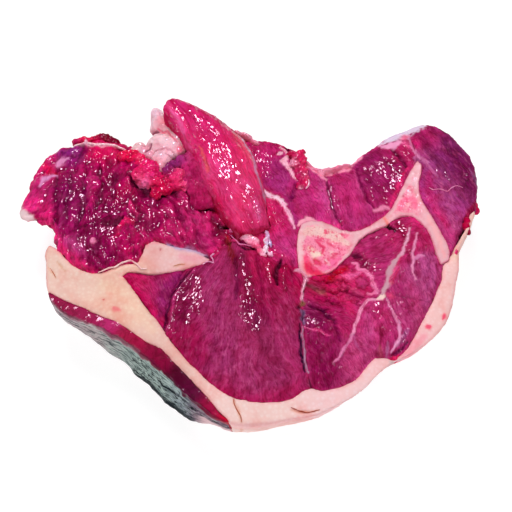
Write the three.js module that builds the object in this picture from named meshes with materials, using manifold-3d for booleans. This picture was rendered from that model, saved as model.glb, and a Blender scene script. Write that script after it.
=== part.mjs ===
// Raw veal shoulder: a thick bone-in slab, cut across the shoulder and lying on its lower cut face.
// Units are millimetres, +Z is up, and the outer, fat-covered side of the shoulder faces -Y.
// Plan points are [x, y] on the upper cut face, seen from above.
import * as THREE from "three";
import { mergeVertices } from "three/addons/utils/BufferGeometryUtils.js";
import Module from "manifold-3d";

const wasm = await Module();
wasm.setup();

// ---- driving dimensions ----
const thickness = 50; // from the board to the upper cut face
const gap = 0.35; // left between neighbouring solids
const footRound = 3; // how far the lower edge is drawn in
const rimDrop = 5; // how far the cut face falls at its outer edge
const rimReach = 9; // over this distance from the edge
const outlinePitch = 7; // spacing of points along the outer outline
const cutPitch = 7; // spacing of points along the inner cuts
const reliefPitch = 10; // spacing of points over the cut face
const sliver = 0.05; // detail finer than this is merged away after the cuts
const headroom = 45; // how far the cutting columns reach above the cut face
const footroom = 10; // how far they reach below the board
const axisZ = new THREE.Vector3(0, 0, 1);

// ---- plan of the cut face ----
const slabOutline = [
  [-136, 18], [-139, 8], [-138, -8], [-135, -20], [-127, -29], [-110, -37], [-94, -44], [-77, -55],
  [-58, -72], [-40, -90], [-28, -101], [-15, -107], [0, -108], [20, -105], [42, -101], [66, -88], [85, -70],
  [101, -61], [114, -50], [125, -34], [130, -18], [134, 0], [136, 16], [143, 30], [149, 46], [151, 66],
  [149, 84], [142, 98], [131, 111], [119, 117], [101, 110], [90, 102], [80, 93], [70, 86],
  [55, 77], [44, 77], [36, 85], [29, 94], [16, 101], [3, 104], [-8, 108], [-24, 111], [-40, 113], [-55, 108],
  [-66, 100], [-80, 98], [-94, 102], [-113, 107], [-131, 99], [-146, 89], [-153, 76], [-157, 58], [-160, 45],
  [-154, 38], [-142, 36], [-136, 28],
];

// The inner faces of the fat cover and of the thin skin muscle outside it, left to right, with the ground
// beyond the slab closing each loop.
const fatInnerFace = [
  [-150, 22], [-133, 16], [-124, 5], [-109, -2], [-92, -2], [-76, -20], [-61, -42], [-51, -57], [-35, -75],
  [-16, -90], [4, -94], [21, -92], [33, -84], [43, -86], [61, -80], [78, -63], [88, -66], [97, -57],
  [107, -39], [119, -15], [124, -2], [123, 5], [129, 10], [134, 19], [141, 31], [145, 43], [162, 48],
];
const fatOuterGround = [[200, -40], [120, -140], [-60, -170], [-190, -90], [-190, 10]];
const skinInnerFace = [
  [-150, -10], [-136, -16], [-127, -21], [-113, -27], [-100, -33], [-87, -39], [-74, -49], [-61, -57],
  [-51, -68], [-42, -78], [-31, -90], [-23, -100], [-14, -112],
];
const skinOuterGround = [[-20, -150], [-120, -130], [-190, -60]];

// A wedge of fat runs in from the cover between the neck muscle and the great muscle below it.
const fatWedge = [
  [-104, -5], [-92, 2], [-83, 5], [-77, 6], [-75, 14], [-71, 20], [-60, 18], [-46, 15], [-35, 12], [-30, 8],
  [-37, 4], [-48, 1], [-60, -1], [-72, -2], [-84, 0], [-94, -6],
];

// The shoulder blade in section: its thick border, then a thin plate, then the fork where its spine rises.
const bladeSection = [
  [31, 34], [39, 37], [50, 34], [60, 29], [70, 30], [82, 37], [91, 45], [98, 59], [106, 75], [113, 85],
  [114, 77], [111, 66], [112, 54], [118, 41], [125, 25], [129, 15], [127, 6], [123, 4], [120, 12], [117, 26],
  [111, 36], [103, 42], [95, 40], [88, 34], [77, 29], [68, 22], [64, 14], [57, 7], [49, -1], [39, -4],
  [31, -5], [28, 6], [28, 22],
];

// The muscles that the lean falls into, parted by thin seams. Each is taken in turn from what is left of the
// lean, and the back muscle is the rest.
const muscles = [
  {
    name: "neck_muscle",
    material: "neckMeat",
    loop: [
      [-100, -4], [-84, 2], [-70, 8], [-50, 8], [-30, 8], [-24, 16], [-15, 25], [-11, 44], [-20, 70],
      [-38, 98], [-62, 116], [-80, 150], [-200, 130], [-200, 10], [-140, -10],
    ],
  },
  {
    name: "great_muscle",
    material: "meat",
    loop: [
      [-57, -40], [-59, -28], [-54, -14], [-48, 0], [-34, 8], [-25, 14], [-19, 22], [-8, 20], [1, 14],
      [10, 7], [29, 0], [31, -10], [30, -25], [31, -50], [33, -76], [38, -130], [-80, -130],
    ],
  },
  {
    name: "corner_muscle",
    material: "meat",
    loop: [[-100, 0], [-70, 4], [-40, 4], [-48, -20], [-50, -50], [-70, -60], [-110, -10]],
  },
  {
    name: "end_muscle",
    material: "meat",
    loop: [
      [107, 130], [109, 104], [111, 92], [112, 80], [106, 62], [112, 45], [119, 30], [124, 10], [140, -20],
      [200, 20], [190, 130],
    ],
  },
  {
    name: "shank_muscle",
    material: "meat",
    loop: [
      [40, 5], [60, 16], [70, 26], [82, 34], [92, 43], [103, 50], [113, 42], [120, 26], [125, 10],
      [150, -20], [120, -120], [20, -120], [20, -20], [24, -4],
    ],
  },
];

// ---- form ----
// How the sides run from the cut face down to the board: at each bearing, in degrees from +X, the distance
// out to the side and how far its foot is set out (positive) or undercut (negative).
const sideSlopes = [
  { bearing: -180, reach: 138, foot: -9 }, { bearing: -165, reach: 130, foot: -10 },
  { bearing: -155, reach: 104, foot: -3 }, { bearing: -143, reach: 94, foot: 4 },
  { bearing: -129, reach: 93, foot: 7 }, { bearing: -117, reach: 99, foot: 2 },
  { bearing: -105, reach: 105, foot: -12 }, { bearing: -85, reach: 107, foot: -17 },
  { bearing: -56, reach: 107, foot: -23 }, { bearing: -30, reach: 118, foot: -25 },
  { bearing: 0, reach: 134, foot: -12 }, { bearing: 25, reach: 162, foot: -7 },
  { bearing: 40, reach: 171, foot: -2 }, { bearing: 50, reach: 140, foot: 6 },
  { bearing: 65, reach: 88, foot: 8 }, { bearing: 90, reach: 104, foot: 3 },
  { bearing: 112, reach: 119, foot: -4 }, { bearing: 132, reach: 136, foot: -14 },
  { bearing: 150, reach: 170, foot: -26 }, { bearing: 166, reach: 166, foot: -24 },
  { bearing: 180, reach: 138, foot: -9 },
];
const slopeCurve = 1.3; // above 1, the sides stay steep near the cut face and run in lower down
const sideRings = [
  // height of each ring round the slab, and how far it is drawn in from the outline
  { height: 0, inset: footRound }, { height: 5, inset: 0 }, { height: 18, inset: -1.5 },
  { height: 34, inset: -1 }, { height: thickness, inset: 0 }, { height: thickness + headroom, inset: 0 },
];

// The flap of the neck muscle overhangs: a rounded hollow is scooped out from beneath it.
const flapHollow = { at: [-168, 33, -2], radii: [48, 32, 52], around: 18, rows: 12 };

// Muscle bellies and hollows of the cut face: centre, half length and width, turn in degrees and rise.
const lobes = [
  { name: "neck muscle", at: [-105, 42], size: [44, 46], turn: 0, rise: 9 },
  { name: "neck flap", at: [-142, 56], size: [20, 34], turn: -20, rise: 3 },
  { name: "torn inner neck", at: [-56, 36], size: [34, 26], turn: -20, rise: 6 },
  { name: "torn lump, left", at: [-80, 78], size: [13, 12], turn: 0, rise: 7 },
  { name: "torn lump, right", at: [-58, 72], size: [20, 12], turn: -20, rise: 8 },
  { name: "hollow under the lumps", at: [-68, 60], size: [22, 8], turn: -10, rise: -7 },
  { name: "great muscle", at: [-12, -42], size: [48, 56], turn: 20, rise: 7 },
  { name: "great muscle, top", at: [-4, 4], size: [26, 22], turn: 0, rise: 3 },
  { name: "three-cornered muscle", at: [-72, -18], size: [24, 20], turn: -40, rise: -3 },
  { name: "long muscle beside the lifted one", at: [22, 28], size: [14, 40], turn: 30, rise: 4 },
  { name: "back muscles", at: [42, 62], size: [36, 30], turn: 0, rise: 3 },
  { name: "hollow below the blade", at: [52, -14], size: [26, 14], turn: -10, rise: -4 },
  { name: "shank muscles", at: [66, -52], size: [40, 28], turn: 30, rise: 4 },
  { name: "forked muscle", at: [103, 4], size: [20, 44], turn: 15, rise: 3 },
  { name: "end muscle", at: [130, 68], size: [26, 50], turn: 15, rise: 5 },
  { name: "fat at the neck end", at: [-108, -16], size: [36, 16], turn: -25, rise: -4 },
];

// The muscle that lies lifted over the cut face, from its cut end by the fat knob to its tapered end.
const liftedMuscle = {
  path: [[-58, 121, 50], [-40, 106, 51], [-22, 83, 52], [-13, 56, 52], [-1, 27, 49]],
  halfWidths: [10, 15, 20, 19, 12],
  heights: [20, 21, 19, 16, 9],
  lean: -0.1, // how far its back is turned to the right, in radians
  squareness: 2.6, // 2 is an ellipse in section, above that is boxier
  underside: 0.8, // how much narrower it is below its widest line
  depth: 30, // from the middle line down into the slab
  sections: 14,
  around: 22,
};

// The knob of fat at the back: a ball drawn out into lumps, each towards a direction, by a distance and over
// a spread in degrees.
const fatKnobForm = {
  at: [-66, 101, 42],
  radius: 13,
  lumps: [
    { toward: [-0.2, 1, 0.25], reach: 15, spread: 28 },
    { toward: [1, -0.6, 0.2], reach: 8, spread: 30 },
    { toward: [-1, -0.5, 0], reach: 7, spread: 26 },
    { toward: [0.2, -1, 0.3], reach: 12, spread: 32 },
    { toward: [0, 0, 1], reach: 5, spread: 55 },
    { toward: [0, 0, -1], reach: 7, spread: 50 },
  ],
  around: 22,
  rows: 14,
};

// ---- small helpers ----
const bellShape = (t) => (t >= 1 ? 0 : (1 - t * t) ** 2);
const degrees = THREE.MathUtils.degToRad;

// Points evenly spaced round a smooth closed loop.
function smoothLoop(points, pitch) {
  const knots = points.map(([x, y]) => new THREE.Vector3(x, y, 0));
  const loop = new THREE.CatmullRomCurve3(knots, true, "centripetal");
  const count = Math.round(loop.getLength() / pitch);
  const spaced = loop.getSpacedPoints(count).slice(0, count);
  return spaced.map((p) => new THREE.Vector2(p.x, p.y));
}

// A loop moved outwards by a distance, or inwards by a negative one. The loop runs anticlockwise.
function grownLoop(loop, distance) {
  return loop.map((point, i) => {
    const before = loop[(i + loop.length - 1) % loop.length];
    const after = loop[(i + 1) % loop.length];
    const along = after.clone().sub(before).normalize();
    return point.clone().add(new THREE.Vector2(along.y, -along.x).multiplyScalar(distance));
  });
}

const anticlockwise = (loop) => (THREE.ShapeUtils.isClockWise(loop) ? loop.slice().reverse() : loop);

// The closed solid of a three.js geometry.
function solidOf(geometry) {
  const bare = geometry.clone();
  for (const name of Object.keys(bare.attributes)) if (name !== "position") bare.deleteAttribute(name);
  const merged = mergeVertices(bare, 1e-4);
  const mesh = new wasm.Mesh({
    numProp: 3,
    vertProperties: new Float32Array(merged.attributes.position.array),
    triVerts: new Uint32Array(merged.index.array),
  });
  return new wasm.Manifold(mesh);
}

// The three.js geometry of a closed solid.
function geometryOf(solid) {
  const mesh = solid.getMesh();
  const geometry = new THREE.BufferGeometry();
  geometry.setAttribute("position", new THREE.BufferAttribute(mesh.vertProperties, mesh.numProp));
  geometry.setIndex(new THREE.BufferAttribute(mesh.triVerts, 1));
  geometry.computeVertexNormals();
  return geometry;
}

// A geometry lofted through rings of equal count, listed from the bottom up and each anticlockwise.
function loftOf(rings, bottomFaces, topFaces) {
  const count = rings[0].length;
  const positions = rings.flat().flatMap((p) => [p.x, p.y, p.z]);
  const faces = [];
  for (let level = 0; level + 1 < rings.length; level++)
    for (let i = 0; i < count; i++) {
      const a = level * count + i;
      const b = level * count + ((i + 1) % count);
      faces.push(a, b, b + count, a, b + count, a + count);
    }
  const topStart = (rings.length - 1) * count;
  for (const [a, b, c] of bottomFaces) faces.push(a, c, b);
  for (const [a, b, c] of topFaces) faces.push(topStart + a, topStart + b, topStart + c);
  const geometry = new THREE.BufferGeometry();
  geometry.setAttribute("position", new THREE.Float32BufferAttribute(positions, 3));
  geometry.setIndex(faces);
  return geometry;
}

// ---- the sides ----
// The row of sideSlopes at a bearing, blended smoothly between its neighbours.
function slopeAt(bearing) {
  const next = Math.max(1, sideSlopes.findIndex((row) => row.bearing >= bearing));
  const [from, to] = [sideSlopes[next - 1], sideSlopes[next]];
  const share = THREE.MathUtils.smoothstep(bearing, from.bearing, to.bearing);
  return {
    reach: THREE.MathUtils.lerp(from.reach, to.reach, share),
    foot: THREE.MathUtils.lerp(from.foot, to.foot, share),
  };
}

// Where a plan point comes to lie at a height, as the sides lean in or out below the cut face.
function settled(point, z) {
  const distance = point.length();
  const { reach, foot } = slopeAt(THREE.MathUtils.radToDeg(Math.atan2(point.y, point.x)));
  const share = Math.min(1, distance / reach) ** 2;
  const depth = THREE.MathUtils.clamp(1 - z / thickness, 0, 1) ** slopeCurve;
  const shifted = point.clone().setLength(distance + foot * share * depth);
  return new THREE.Vector3(shifted.x, shifted.y, z);
}

// A column over a plan loop, from one height to another, that leans with the sides.
function column(loop, heights, insets = heights.map(() => 0)) {
  const plan = anticlockwise(loop);
  const rings = heights.map((z, i) => grownLoop(plan, -insets[i]).map((point) => settled(point, z)));
  const caps = [rings[0], rings.at(-1)].map((ring) => {
    const flat = ring.map((p) => new THREE.Vector2(p.x, p.y));
    return THREE.ShapeUtils.triangulateShape(flat, []);
  });
  return solidOf(loftOf(rings, caps[0], caps[1]));
}

// A column that cuts right through the slab, a gap wider all round if asked.
function cutter(points, extra = 0) {
  const loop = grownLoop(anticlockwise(smoothLoop(points, cutPitch)), extra);
  return column(loop, [-footroom, 0, thickness / 2, thickness, thickness + headroom]);
}

// ---- the cut face ----
const rim = smoothLoop(slabOutline, outlinePitch);

function distanceToRim(x, y) {
  const here = new THREE.Vector2(x, y);
  return Math.min(...rim.map((point) => point.distanceTo(here)));
}

// Height of the cut face over a plan point.
function cutFaceHeight(x, y) {
  let height = thickness;
  for (const { at, size, turn, rise } of lobes) {
    const local = new THREE.Vector2(x - at[0], y - at[1]).rotateAround(new THREE.Vector2(), -degrees(turn));
    height += rise * bellShape(Math.hypot(local.x / size[0], local.y / size[1]) * 0.8);
  }
  const inward = Math.min(1, distanceToRim(x, y) / rimReach);
  return height - rimDrop * (1 - inward) ** 2;
}

// A block whose top is the cut face's relief.
function reliefBlock() {
  const box = new THREE.Box2().setFromPoints(rim).expandByScalar(2 * reliefPitch);
  const span = box.getSize(new THREE.Vector2());
  const across = Math.round(span.x / reliefPitch);
  const along = Math.round(span.y / reliefPitch);
  const block = new THREE.BoxGeometry(span.x, span.y, thickness, across, along, 1);
  const position = block.attributes.position;
  const centre = box.getCenter(new THREE.Vector2());
  for (let i = 0; i < position.count; i++) {
    const x = position.getX(i) + centre.x;
    const y = position.getY(i) + centre.y;
    const z = position.getZ(i) > 0 ? cutFaceHeight(x, y) : -2 * footRound;
    position.setXYZ(i, x, y, z);
  }
  return solidOf(block);
}

// A ball stretched to its radii.
function ballSolid({ at, radii, around, rows }) {
  return solidOf(new THREE.SphereGeometry(1, around, rows).scale(...radii).translate(...at));
}

function slab() {
  const heights = sideRings.map((ring) => ring.height);
  const insets = sideRings.map((ring) => ring.inset);
  return column(rim, heights, insets).intersect(reliefBlock()).subtract(ballSolid(flapHollow));
}

// ---- pieces that stand above the cut face ----
// A power that keeps the sign, for sections that are boxier than an ellipse.
const rounded = (value, power) => Math.sign(value) * Math.abs(value) ** power;

// The lifted muscle, larger all round by a margin if asked.
function liftedMuscleSolid(margin = 0) {
  const { path, halfWidths, heights, lean, squareness, underside, depth, sections, around } = liftedMuscle;
  const spine = new THREE.CatmullRomCurve3(path.map((p) => new THREE.Vector3(...p)));
  const widthCurve = new THREE.SplineCurve(halfWidths.map((w, i) => new THREE.Vector2(i, w)));
  const heightCurve = new THREE.SplineCurve(heights.map((h, i) => new THREE.Vector2(i, h)));
  const turns = Array.from({ length: around }, (_, k) => (2 * Math.PI * k) / around);
  const rings = [];
  for (let i = 0; i < sections; i++) {
    const t = i / (sections - 1);
    const along = spine.getTangent(t).setZ(0).normalize();
    const middle = spine.getPoint(t).addScaledVector(along, (2 * t - 1) * margin);
    const side = new THREE.Vector3().crossVectors(axisZ, along).applyAxisAngle(along, lean);
    const width = widthCurve.getPoint(t).y + margin;
    const rise = heightCurve.getPoint(t).y + margin;
    const ring = turns.map((turn) => {
      const out = rounded(Math.cos(turn), 2 / squareness);
      const up = rounded(Math.sin(turn), 2 / squareness);
      const sideways = out * width * (up < 0 ? underside : 1);
      const upwards = up * (up > 0 ? rise : depth + margin);
      return middle.clone().addScaledVector(side, sideways).addScaledVector(axisZ, upwards);
    });
    rings.push(ring);
  }
  const cap = THREE.ShapeUtils.triangulateShape(
    turns.map((turn) => new THREE.Vector2(Math.cos(turn), Math.sin(turn))),
    [],
  );
  return solidOf(loftOf(rings, cap, cap));
}

// The knob of fat, larger all round by a margin if asked.
function fatKnobSolid(margin = 0) {
  const { at, radius, lumps, around, rows } = fatKnobForm;
  const knob = new THREE.SphereGeometry(1, around, rows);
  const position = knob.attributes.position;
  for (let i = 0; i < position.count; i++) {
    const direction = new THREE.Vector3().fromBufferAttribute(position, i).normalize();
    let distance = radius + margin;
    for (const { toward, reach, spread } of lumps) {
      const off = direction.angleTo(new THREE.Vector3(...toward).normalize()) / degrees(spread);
      distance += reach * Math.exp(-off * off);
    }
    position.setXYZ(i, ...direction.multiplyScalar(distance).add(new THREE.Vector3(...at)));
  }
  return solidOf(knob);
}

// ---- finishes ----
const finish = (name, color, roughness) =>
  new THREE.MeshStandardMaterial({ name, color, roughness, metalness: 0 });

const finishes = {
  meat: finish("meat", 0x98224f, 0.35),
  neckMeat: finish("neck_meat", 0x86143f, 0.3),
  liftedMeat: finish("lifted_meat", 0xd02a66, 0.25),
  skinMeat: finish("skin_meat", 0x7a1338, 0.4),
  fat: finish("fat", 0xe9c2b4, 0.45),
  knobFat: finish("knob_fat", 0xeea3b4, 0.4),
  bone: finish("bone", 0xe8aeb2, 0.5),
};

// ---- assembly ----
const shoulder = new THREE.Group();
shoulder.name = "veal_shoulder";

// Adds a solid as a named mesh. Slivers are merged first, and only the largest closed body is kept.
function place(name, solid, material) {
  const largestFirst = solid.simplify(sliver).decompose().sort((a, b) => b.volume() - a.volume());
  const mesh = new THREE.Mesh(geometryOf(largestFirst[0]), material.clone());
  mesh.name = name;
  shoulder.add(mesh);
}

const body = slab();
const fatLoop = [...fatInnerFace, ...fatOuterGround];
const skinLoop = [...skinInnerFace, ...skinOuterGround];
const roomForLifted = liftedMuscleSolid(gap);
const roomForKnob = fatKnobSolid(2 * gap);

const fatCover = body
  .intersect(cutter(fatLoop).add(cutter(fatWedge)))
  .subtract(cutter(skinLoop, gap))
  .subtract(cutter(bladeSection, gap));
place("fat_cover", fatCover, finishes.fat);
place("skin_muscle", body.intersect(cutter(skinLoop)), finishes.skinMeat);
place("shoulder_blade", body.intersect(cutter(bladeSection)).subtract(roomForLifted), finishes.bone);
place("fat_knob", fatKnobSolid().subtract(roomForLifted), finishes.knobFat);
place("lifted_muscle", liftedMuscleSolid(), finishes.liftedMeat);

let lean = body
  .subtract(cutter(fatLoop, gap))
  .subtract(cutter(fatWedge, gap))
  .subtract(cutter(bladeSection, gap))
  .subtract(roomForLifted)
  .subtract(roomForKnob);
for (const { name, material, loop } of muscles) {
  place(name, lean.intersect(cutter(loop)), finishes[material]);
  lean = lean.subtract(cutter(loop, gap));
}
place("back_muscle", lean, finishes.meat);

// The origin is the middle of the whole's footprint box, on the board.
const extent = new THREE.Box3().setFromObject(shoulder);
const middle = extent.getCenter(new THREE.Vector3());
shoulder.position.set(-middle.x, -middle.y, -extent.min.z);

export default shoulder;
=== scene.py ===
# Raw veal shoulder: the looks of a thick bone-in slab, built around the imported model.
# Lengths in the settings are millimetres, and plan points are [x, y] seen from above. frameOf and mm turn
# them into the frame's metres.
import math
import bpy
import bmesh
import numpy as np
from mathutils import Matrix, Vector
from mathutils.bvhtree import BVHTree
from mathutils.kdtree import KDTree


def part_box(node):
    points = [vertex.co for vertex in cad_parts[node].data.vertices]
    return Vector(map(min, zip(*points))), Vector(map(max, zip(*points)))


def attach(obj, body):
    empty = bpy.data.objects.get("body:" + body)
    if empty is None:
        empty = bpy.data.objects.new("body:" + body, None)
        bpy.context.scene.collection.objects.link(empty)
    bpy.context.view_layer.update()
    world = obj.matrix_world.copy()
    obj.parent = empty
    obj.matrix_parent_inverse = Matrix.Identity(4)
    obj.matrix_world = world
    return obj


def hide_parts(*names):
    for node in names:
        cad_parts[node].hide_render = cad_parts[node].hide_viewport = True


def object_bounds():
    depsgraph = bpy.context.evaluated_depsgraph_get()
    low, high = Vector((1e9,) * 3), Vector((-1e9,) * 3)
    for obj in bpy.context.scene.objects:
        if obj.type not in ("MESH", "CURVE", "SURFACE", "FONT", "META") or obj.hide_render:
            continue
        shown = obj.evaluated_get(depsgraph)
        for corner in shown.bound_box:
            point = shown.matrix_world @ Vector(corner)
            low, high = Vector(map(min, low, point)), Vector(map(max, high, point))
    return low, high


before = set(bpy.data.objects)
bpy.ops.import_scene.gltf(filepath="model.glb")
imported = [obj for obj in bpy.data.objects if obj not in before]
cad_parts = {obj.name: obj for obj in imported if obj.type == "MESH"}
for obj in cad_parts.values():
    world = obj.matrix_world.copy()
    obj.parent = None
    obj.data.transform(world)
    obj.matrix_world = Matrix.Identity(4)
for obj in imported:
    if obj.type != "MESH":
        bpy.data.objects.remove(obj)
cadLow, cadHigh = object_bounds()
print("frame loaded:", len(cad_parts), "nodes")

mm = 0.001
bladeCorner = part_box("shoulder_blade")[0]
bladeAt = (27.3, -5.4)  # where the blade's low corner lies on the plan
planZero = np.array([bladeCorner.x - bladeAt[0] * mm, bladeCorner.y - bladeAt[1] * mm])


def rgb(code):
    # a web colour as linear red, green and blue
    parts = [int(code[i : i + 2], 16) / 255 for i in (0, 2, 4)]
    return tuple(c / 12.92 if c <= 0.04045 else ((c + 0.055) / 1.055) ** 2.4 for c in parts)


def smoothStep(low, high, value):
    t = np.clip((value - low) / (high - low), 0, 1)
    return t * t * (3 - 2 * t)


def bell(distance):
    # 1 in the middle, fading smoothly to nothing
    return np.exp(-(distance**2))


def makeNoise(seed):
    # smooth random field over three dimensions, about -1 to 1, one lump per unit
    random = np.random.default_rng(seed)
    order = random.permutation(256)
    slopes = random.normal(size=(256, 3))
    slopes /= np.linalg.norm(slopes, axis=1)[:, None]

    def noise(points):
        cell = np.floor(points).astype(int)
        inside = points - cell
        blend = inside**3 * (inside * (inside * 6 - 15) + 10)
        total = np.zeros(len(points))
        for corner in np.ndindex(2, 2, 2):
            step = np.array(corner)
            x, y, z = ((cell + step) & 255).T
            pick = order[(order[(order[x] + y) & 255] + z) & 255]
            share = np.where(step, blend, 1 - blend).prod(axis=1)
            total += share * ((inside - step) * slopes[pick]).sum(axis=1)
        return total * 1.6

    return noise


def layered(noise, points, size, layers=3):
    # several sizes of the same noise on top of each other, each half as large and half as strong as the last
    total = np.zeros(len(points))
    for layer in range(layers):
        share = 0.5**layer
        total += share * noise(points / (size * share) + layer * 17.3)
    return total


def smoothPath(points, pitch=1.5):
    # a curve through plan points, evenly divided
    knots = np.asarray(points, float)
    if len(knots) < 3:
        return knots
    padded = np.vstack([knots[:1], knots, knots[-1:]])
    curve = []
    for before, start, end, after in zip(padded, padded[1:], padded[2:], padded[3:]):
        steps = max(2, int(np.linalg.norm(end - start) / pitch))
        for t in np.linspace(0, 1, steps, endpoint=False)[:, None]:
            curve.append(
                0.5 * (2 * start + (end - before) * t + (2 * before - 5 * start + 4 * end - after) * t**2
                       + (3 * start - before - 3 * end + after) * t**3)
            )
    curve.append(knots[-1][None])
    return np.vstack(curve)


def distanceToPath(points, path):
    # distance of each point to a run of segments, and how far along the run it lies, 0 to 1
    best = np.full(len(points), np.inf)
    along = np.zeros(len(points))
    if len(path) == 1:
        return np.linalg.norm(points - path[0], axis=1), along
    lengths = np.linalg.norm(np.diff(path, axis=0), axis=1)
    total, passed = lengths.sum(), 0.0
    for start, end, length in zip(path, path[1:], lengths):
        step = end - start
        t = np.clip((points - start) @ step / max(length**2, 1e-9), 0, 1)
        distance = np.linalg.norm(points - start - t[:, None] * step, axis=1)
        closer = distance < best
        best[closer] = distance[closer]
        along[closer] = (passed + t[closer] * length) / total
        passed += length
    return best, along


broadNoise, fineNoise, warpNoise = makeNoise(11), makeNoise(12), makeNoise(13)


# the upper cut face, smoothed over the whole slab: reach is how many grid steps the blur takes in
cutFace = {"pitch": 2.0, "blur": 4.5, "reach": 12, "margin": 12, "lowest": 30, "lookFrom": 200}


def rayTree(node):
    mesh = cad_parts[node].data
    return BVHTree.FromPolygons([v.co for v in mesh.vertices], [p.vertices[:] for p in mesh.polygons])


def cutFaceHeights():
    # heights of the frame's upper face on a grid, blurred so that no facets are left
    trees = [rayTree(node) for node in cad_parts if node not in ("lifted_muscle", "fat_knob")]
    above = rayTree("lifted_muscle")
    pitch, margin = cutFace["pitch"] * mm, cutFace["margin"] * mm
    xs = np.arange(cadLow.x - margin, cadHigh.x + margin, pitch)
    ys = np.arange(cadLow.y - margin, cadHigh.y + margin, pitch)
    heights = np.full((len(xs), len(ys)), np.nan)
    down = Vector((0, 0, -1))
    for i, x in enumerate(xs):
        for j, y in enumerate(ys):
            start = Vector((x, y, cutFace["lookFrom"] * mm))
            if above.ray_cast(start, down)[0] is not None:
                continue
            hits = [tree.ray_cast(start, down)[0] for tree in trees]
            found = [hit.z for hit in hits if hit is not None and hit.z > cutFace["lowest"] * mm]
            if found:
                heights[i, j] = max(found)
    known = np.isfinite(heights)
    values, weights = np.where(known, heights, 0.0), known.astype(float)
    reach = np.arange(-cutFace["reach"], cutFace["reach"] + 1)
    kernel = np.exp(-0.5 * (reach * cutFace["pitch"] / cutFace["blur"]) ** 2)
    for axis in (0, 1):
        values = np.apply_along_axis(lambda row: np.convolve(row, kernel, "same"), axis, values)
        weights = np.apply_along_axis(lambda row: np.convolve(row, kernel, "same"), axis, weights)
    usual = np.nanmedian(heights)
    smooth = np.where(weights > 1e-6, values / np.maximum(weights, 1e-6), usual)
    return xs, ys, smooth


faceXs, faceYs, faceHeights = cutFaceHeights()


def faceHeight(points):
    # height of the smoothed cut face over frame positions
    u = np.clip((points[:, 0] - faceXs[0]) / (faceXs[1] - faceXs[0]), 0, len(faceXs) - 1.001)
    v = np.clip((points[:, 1] - faceYs[0]) / (faceYs[1] - faceYs[0]), 0, len(faceYs) - 1.001)
    i, j = u.astype(int), v.astype(int)
    a, b = u - i, v - j
    h = faceHeights
    return ((1 - a) * (1 - b) * h[i, j] + a * (1 - b) * h[i + 1, j]
            + (1 - a) * b * h[i, j + 1] + a * b * h[i + 1, j + 1])


print("cut face smoothed")

# tones that several pieces share; others are web colours beside their piece; dark and deep are
# painted shade, laid into hollows, grooves and cracks
tones = {"crimson": rgb("b01454"), "dark": rgb("5c0630"), "deep": rgb("2c0416")}


def toneOf(name):
    return np.array(tones[name] if name in tones else rgb(name))


def tint(paint, tone, share):
    # moves the colours towards a tone, by each point's share
    paint += (toneOf(tone) - paint) * share[:, None]


# marks: seams, membranes, cracks, stains and wet or hazy runs, drawn by plan points;
# width is how far a mark reaches, rise lifts it (negative is a groove), tone and strong colour it, crisp
# hardens its edge; dark tones along grooves and cracks are painted shade; wet adds to the gloss, and
# haze to the woolly lilac streaks, a painted sheen
def mark(path, width, rise=0.0, tone=None, strong=0.0, wet=0.0, haze=0.0, crisp=1.0):
    return {"curve": smoothPath(path), "width": width, "rise": rise, "tone": tone, "strong": strong,
            "wet": wet, "haze": haze, "crisp": crisp}


def seam(*settings, **finish):
    # a mark with a hard edge
    return mark(*settings, **finish, crisp=2)


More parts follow.
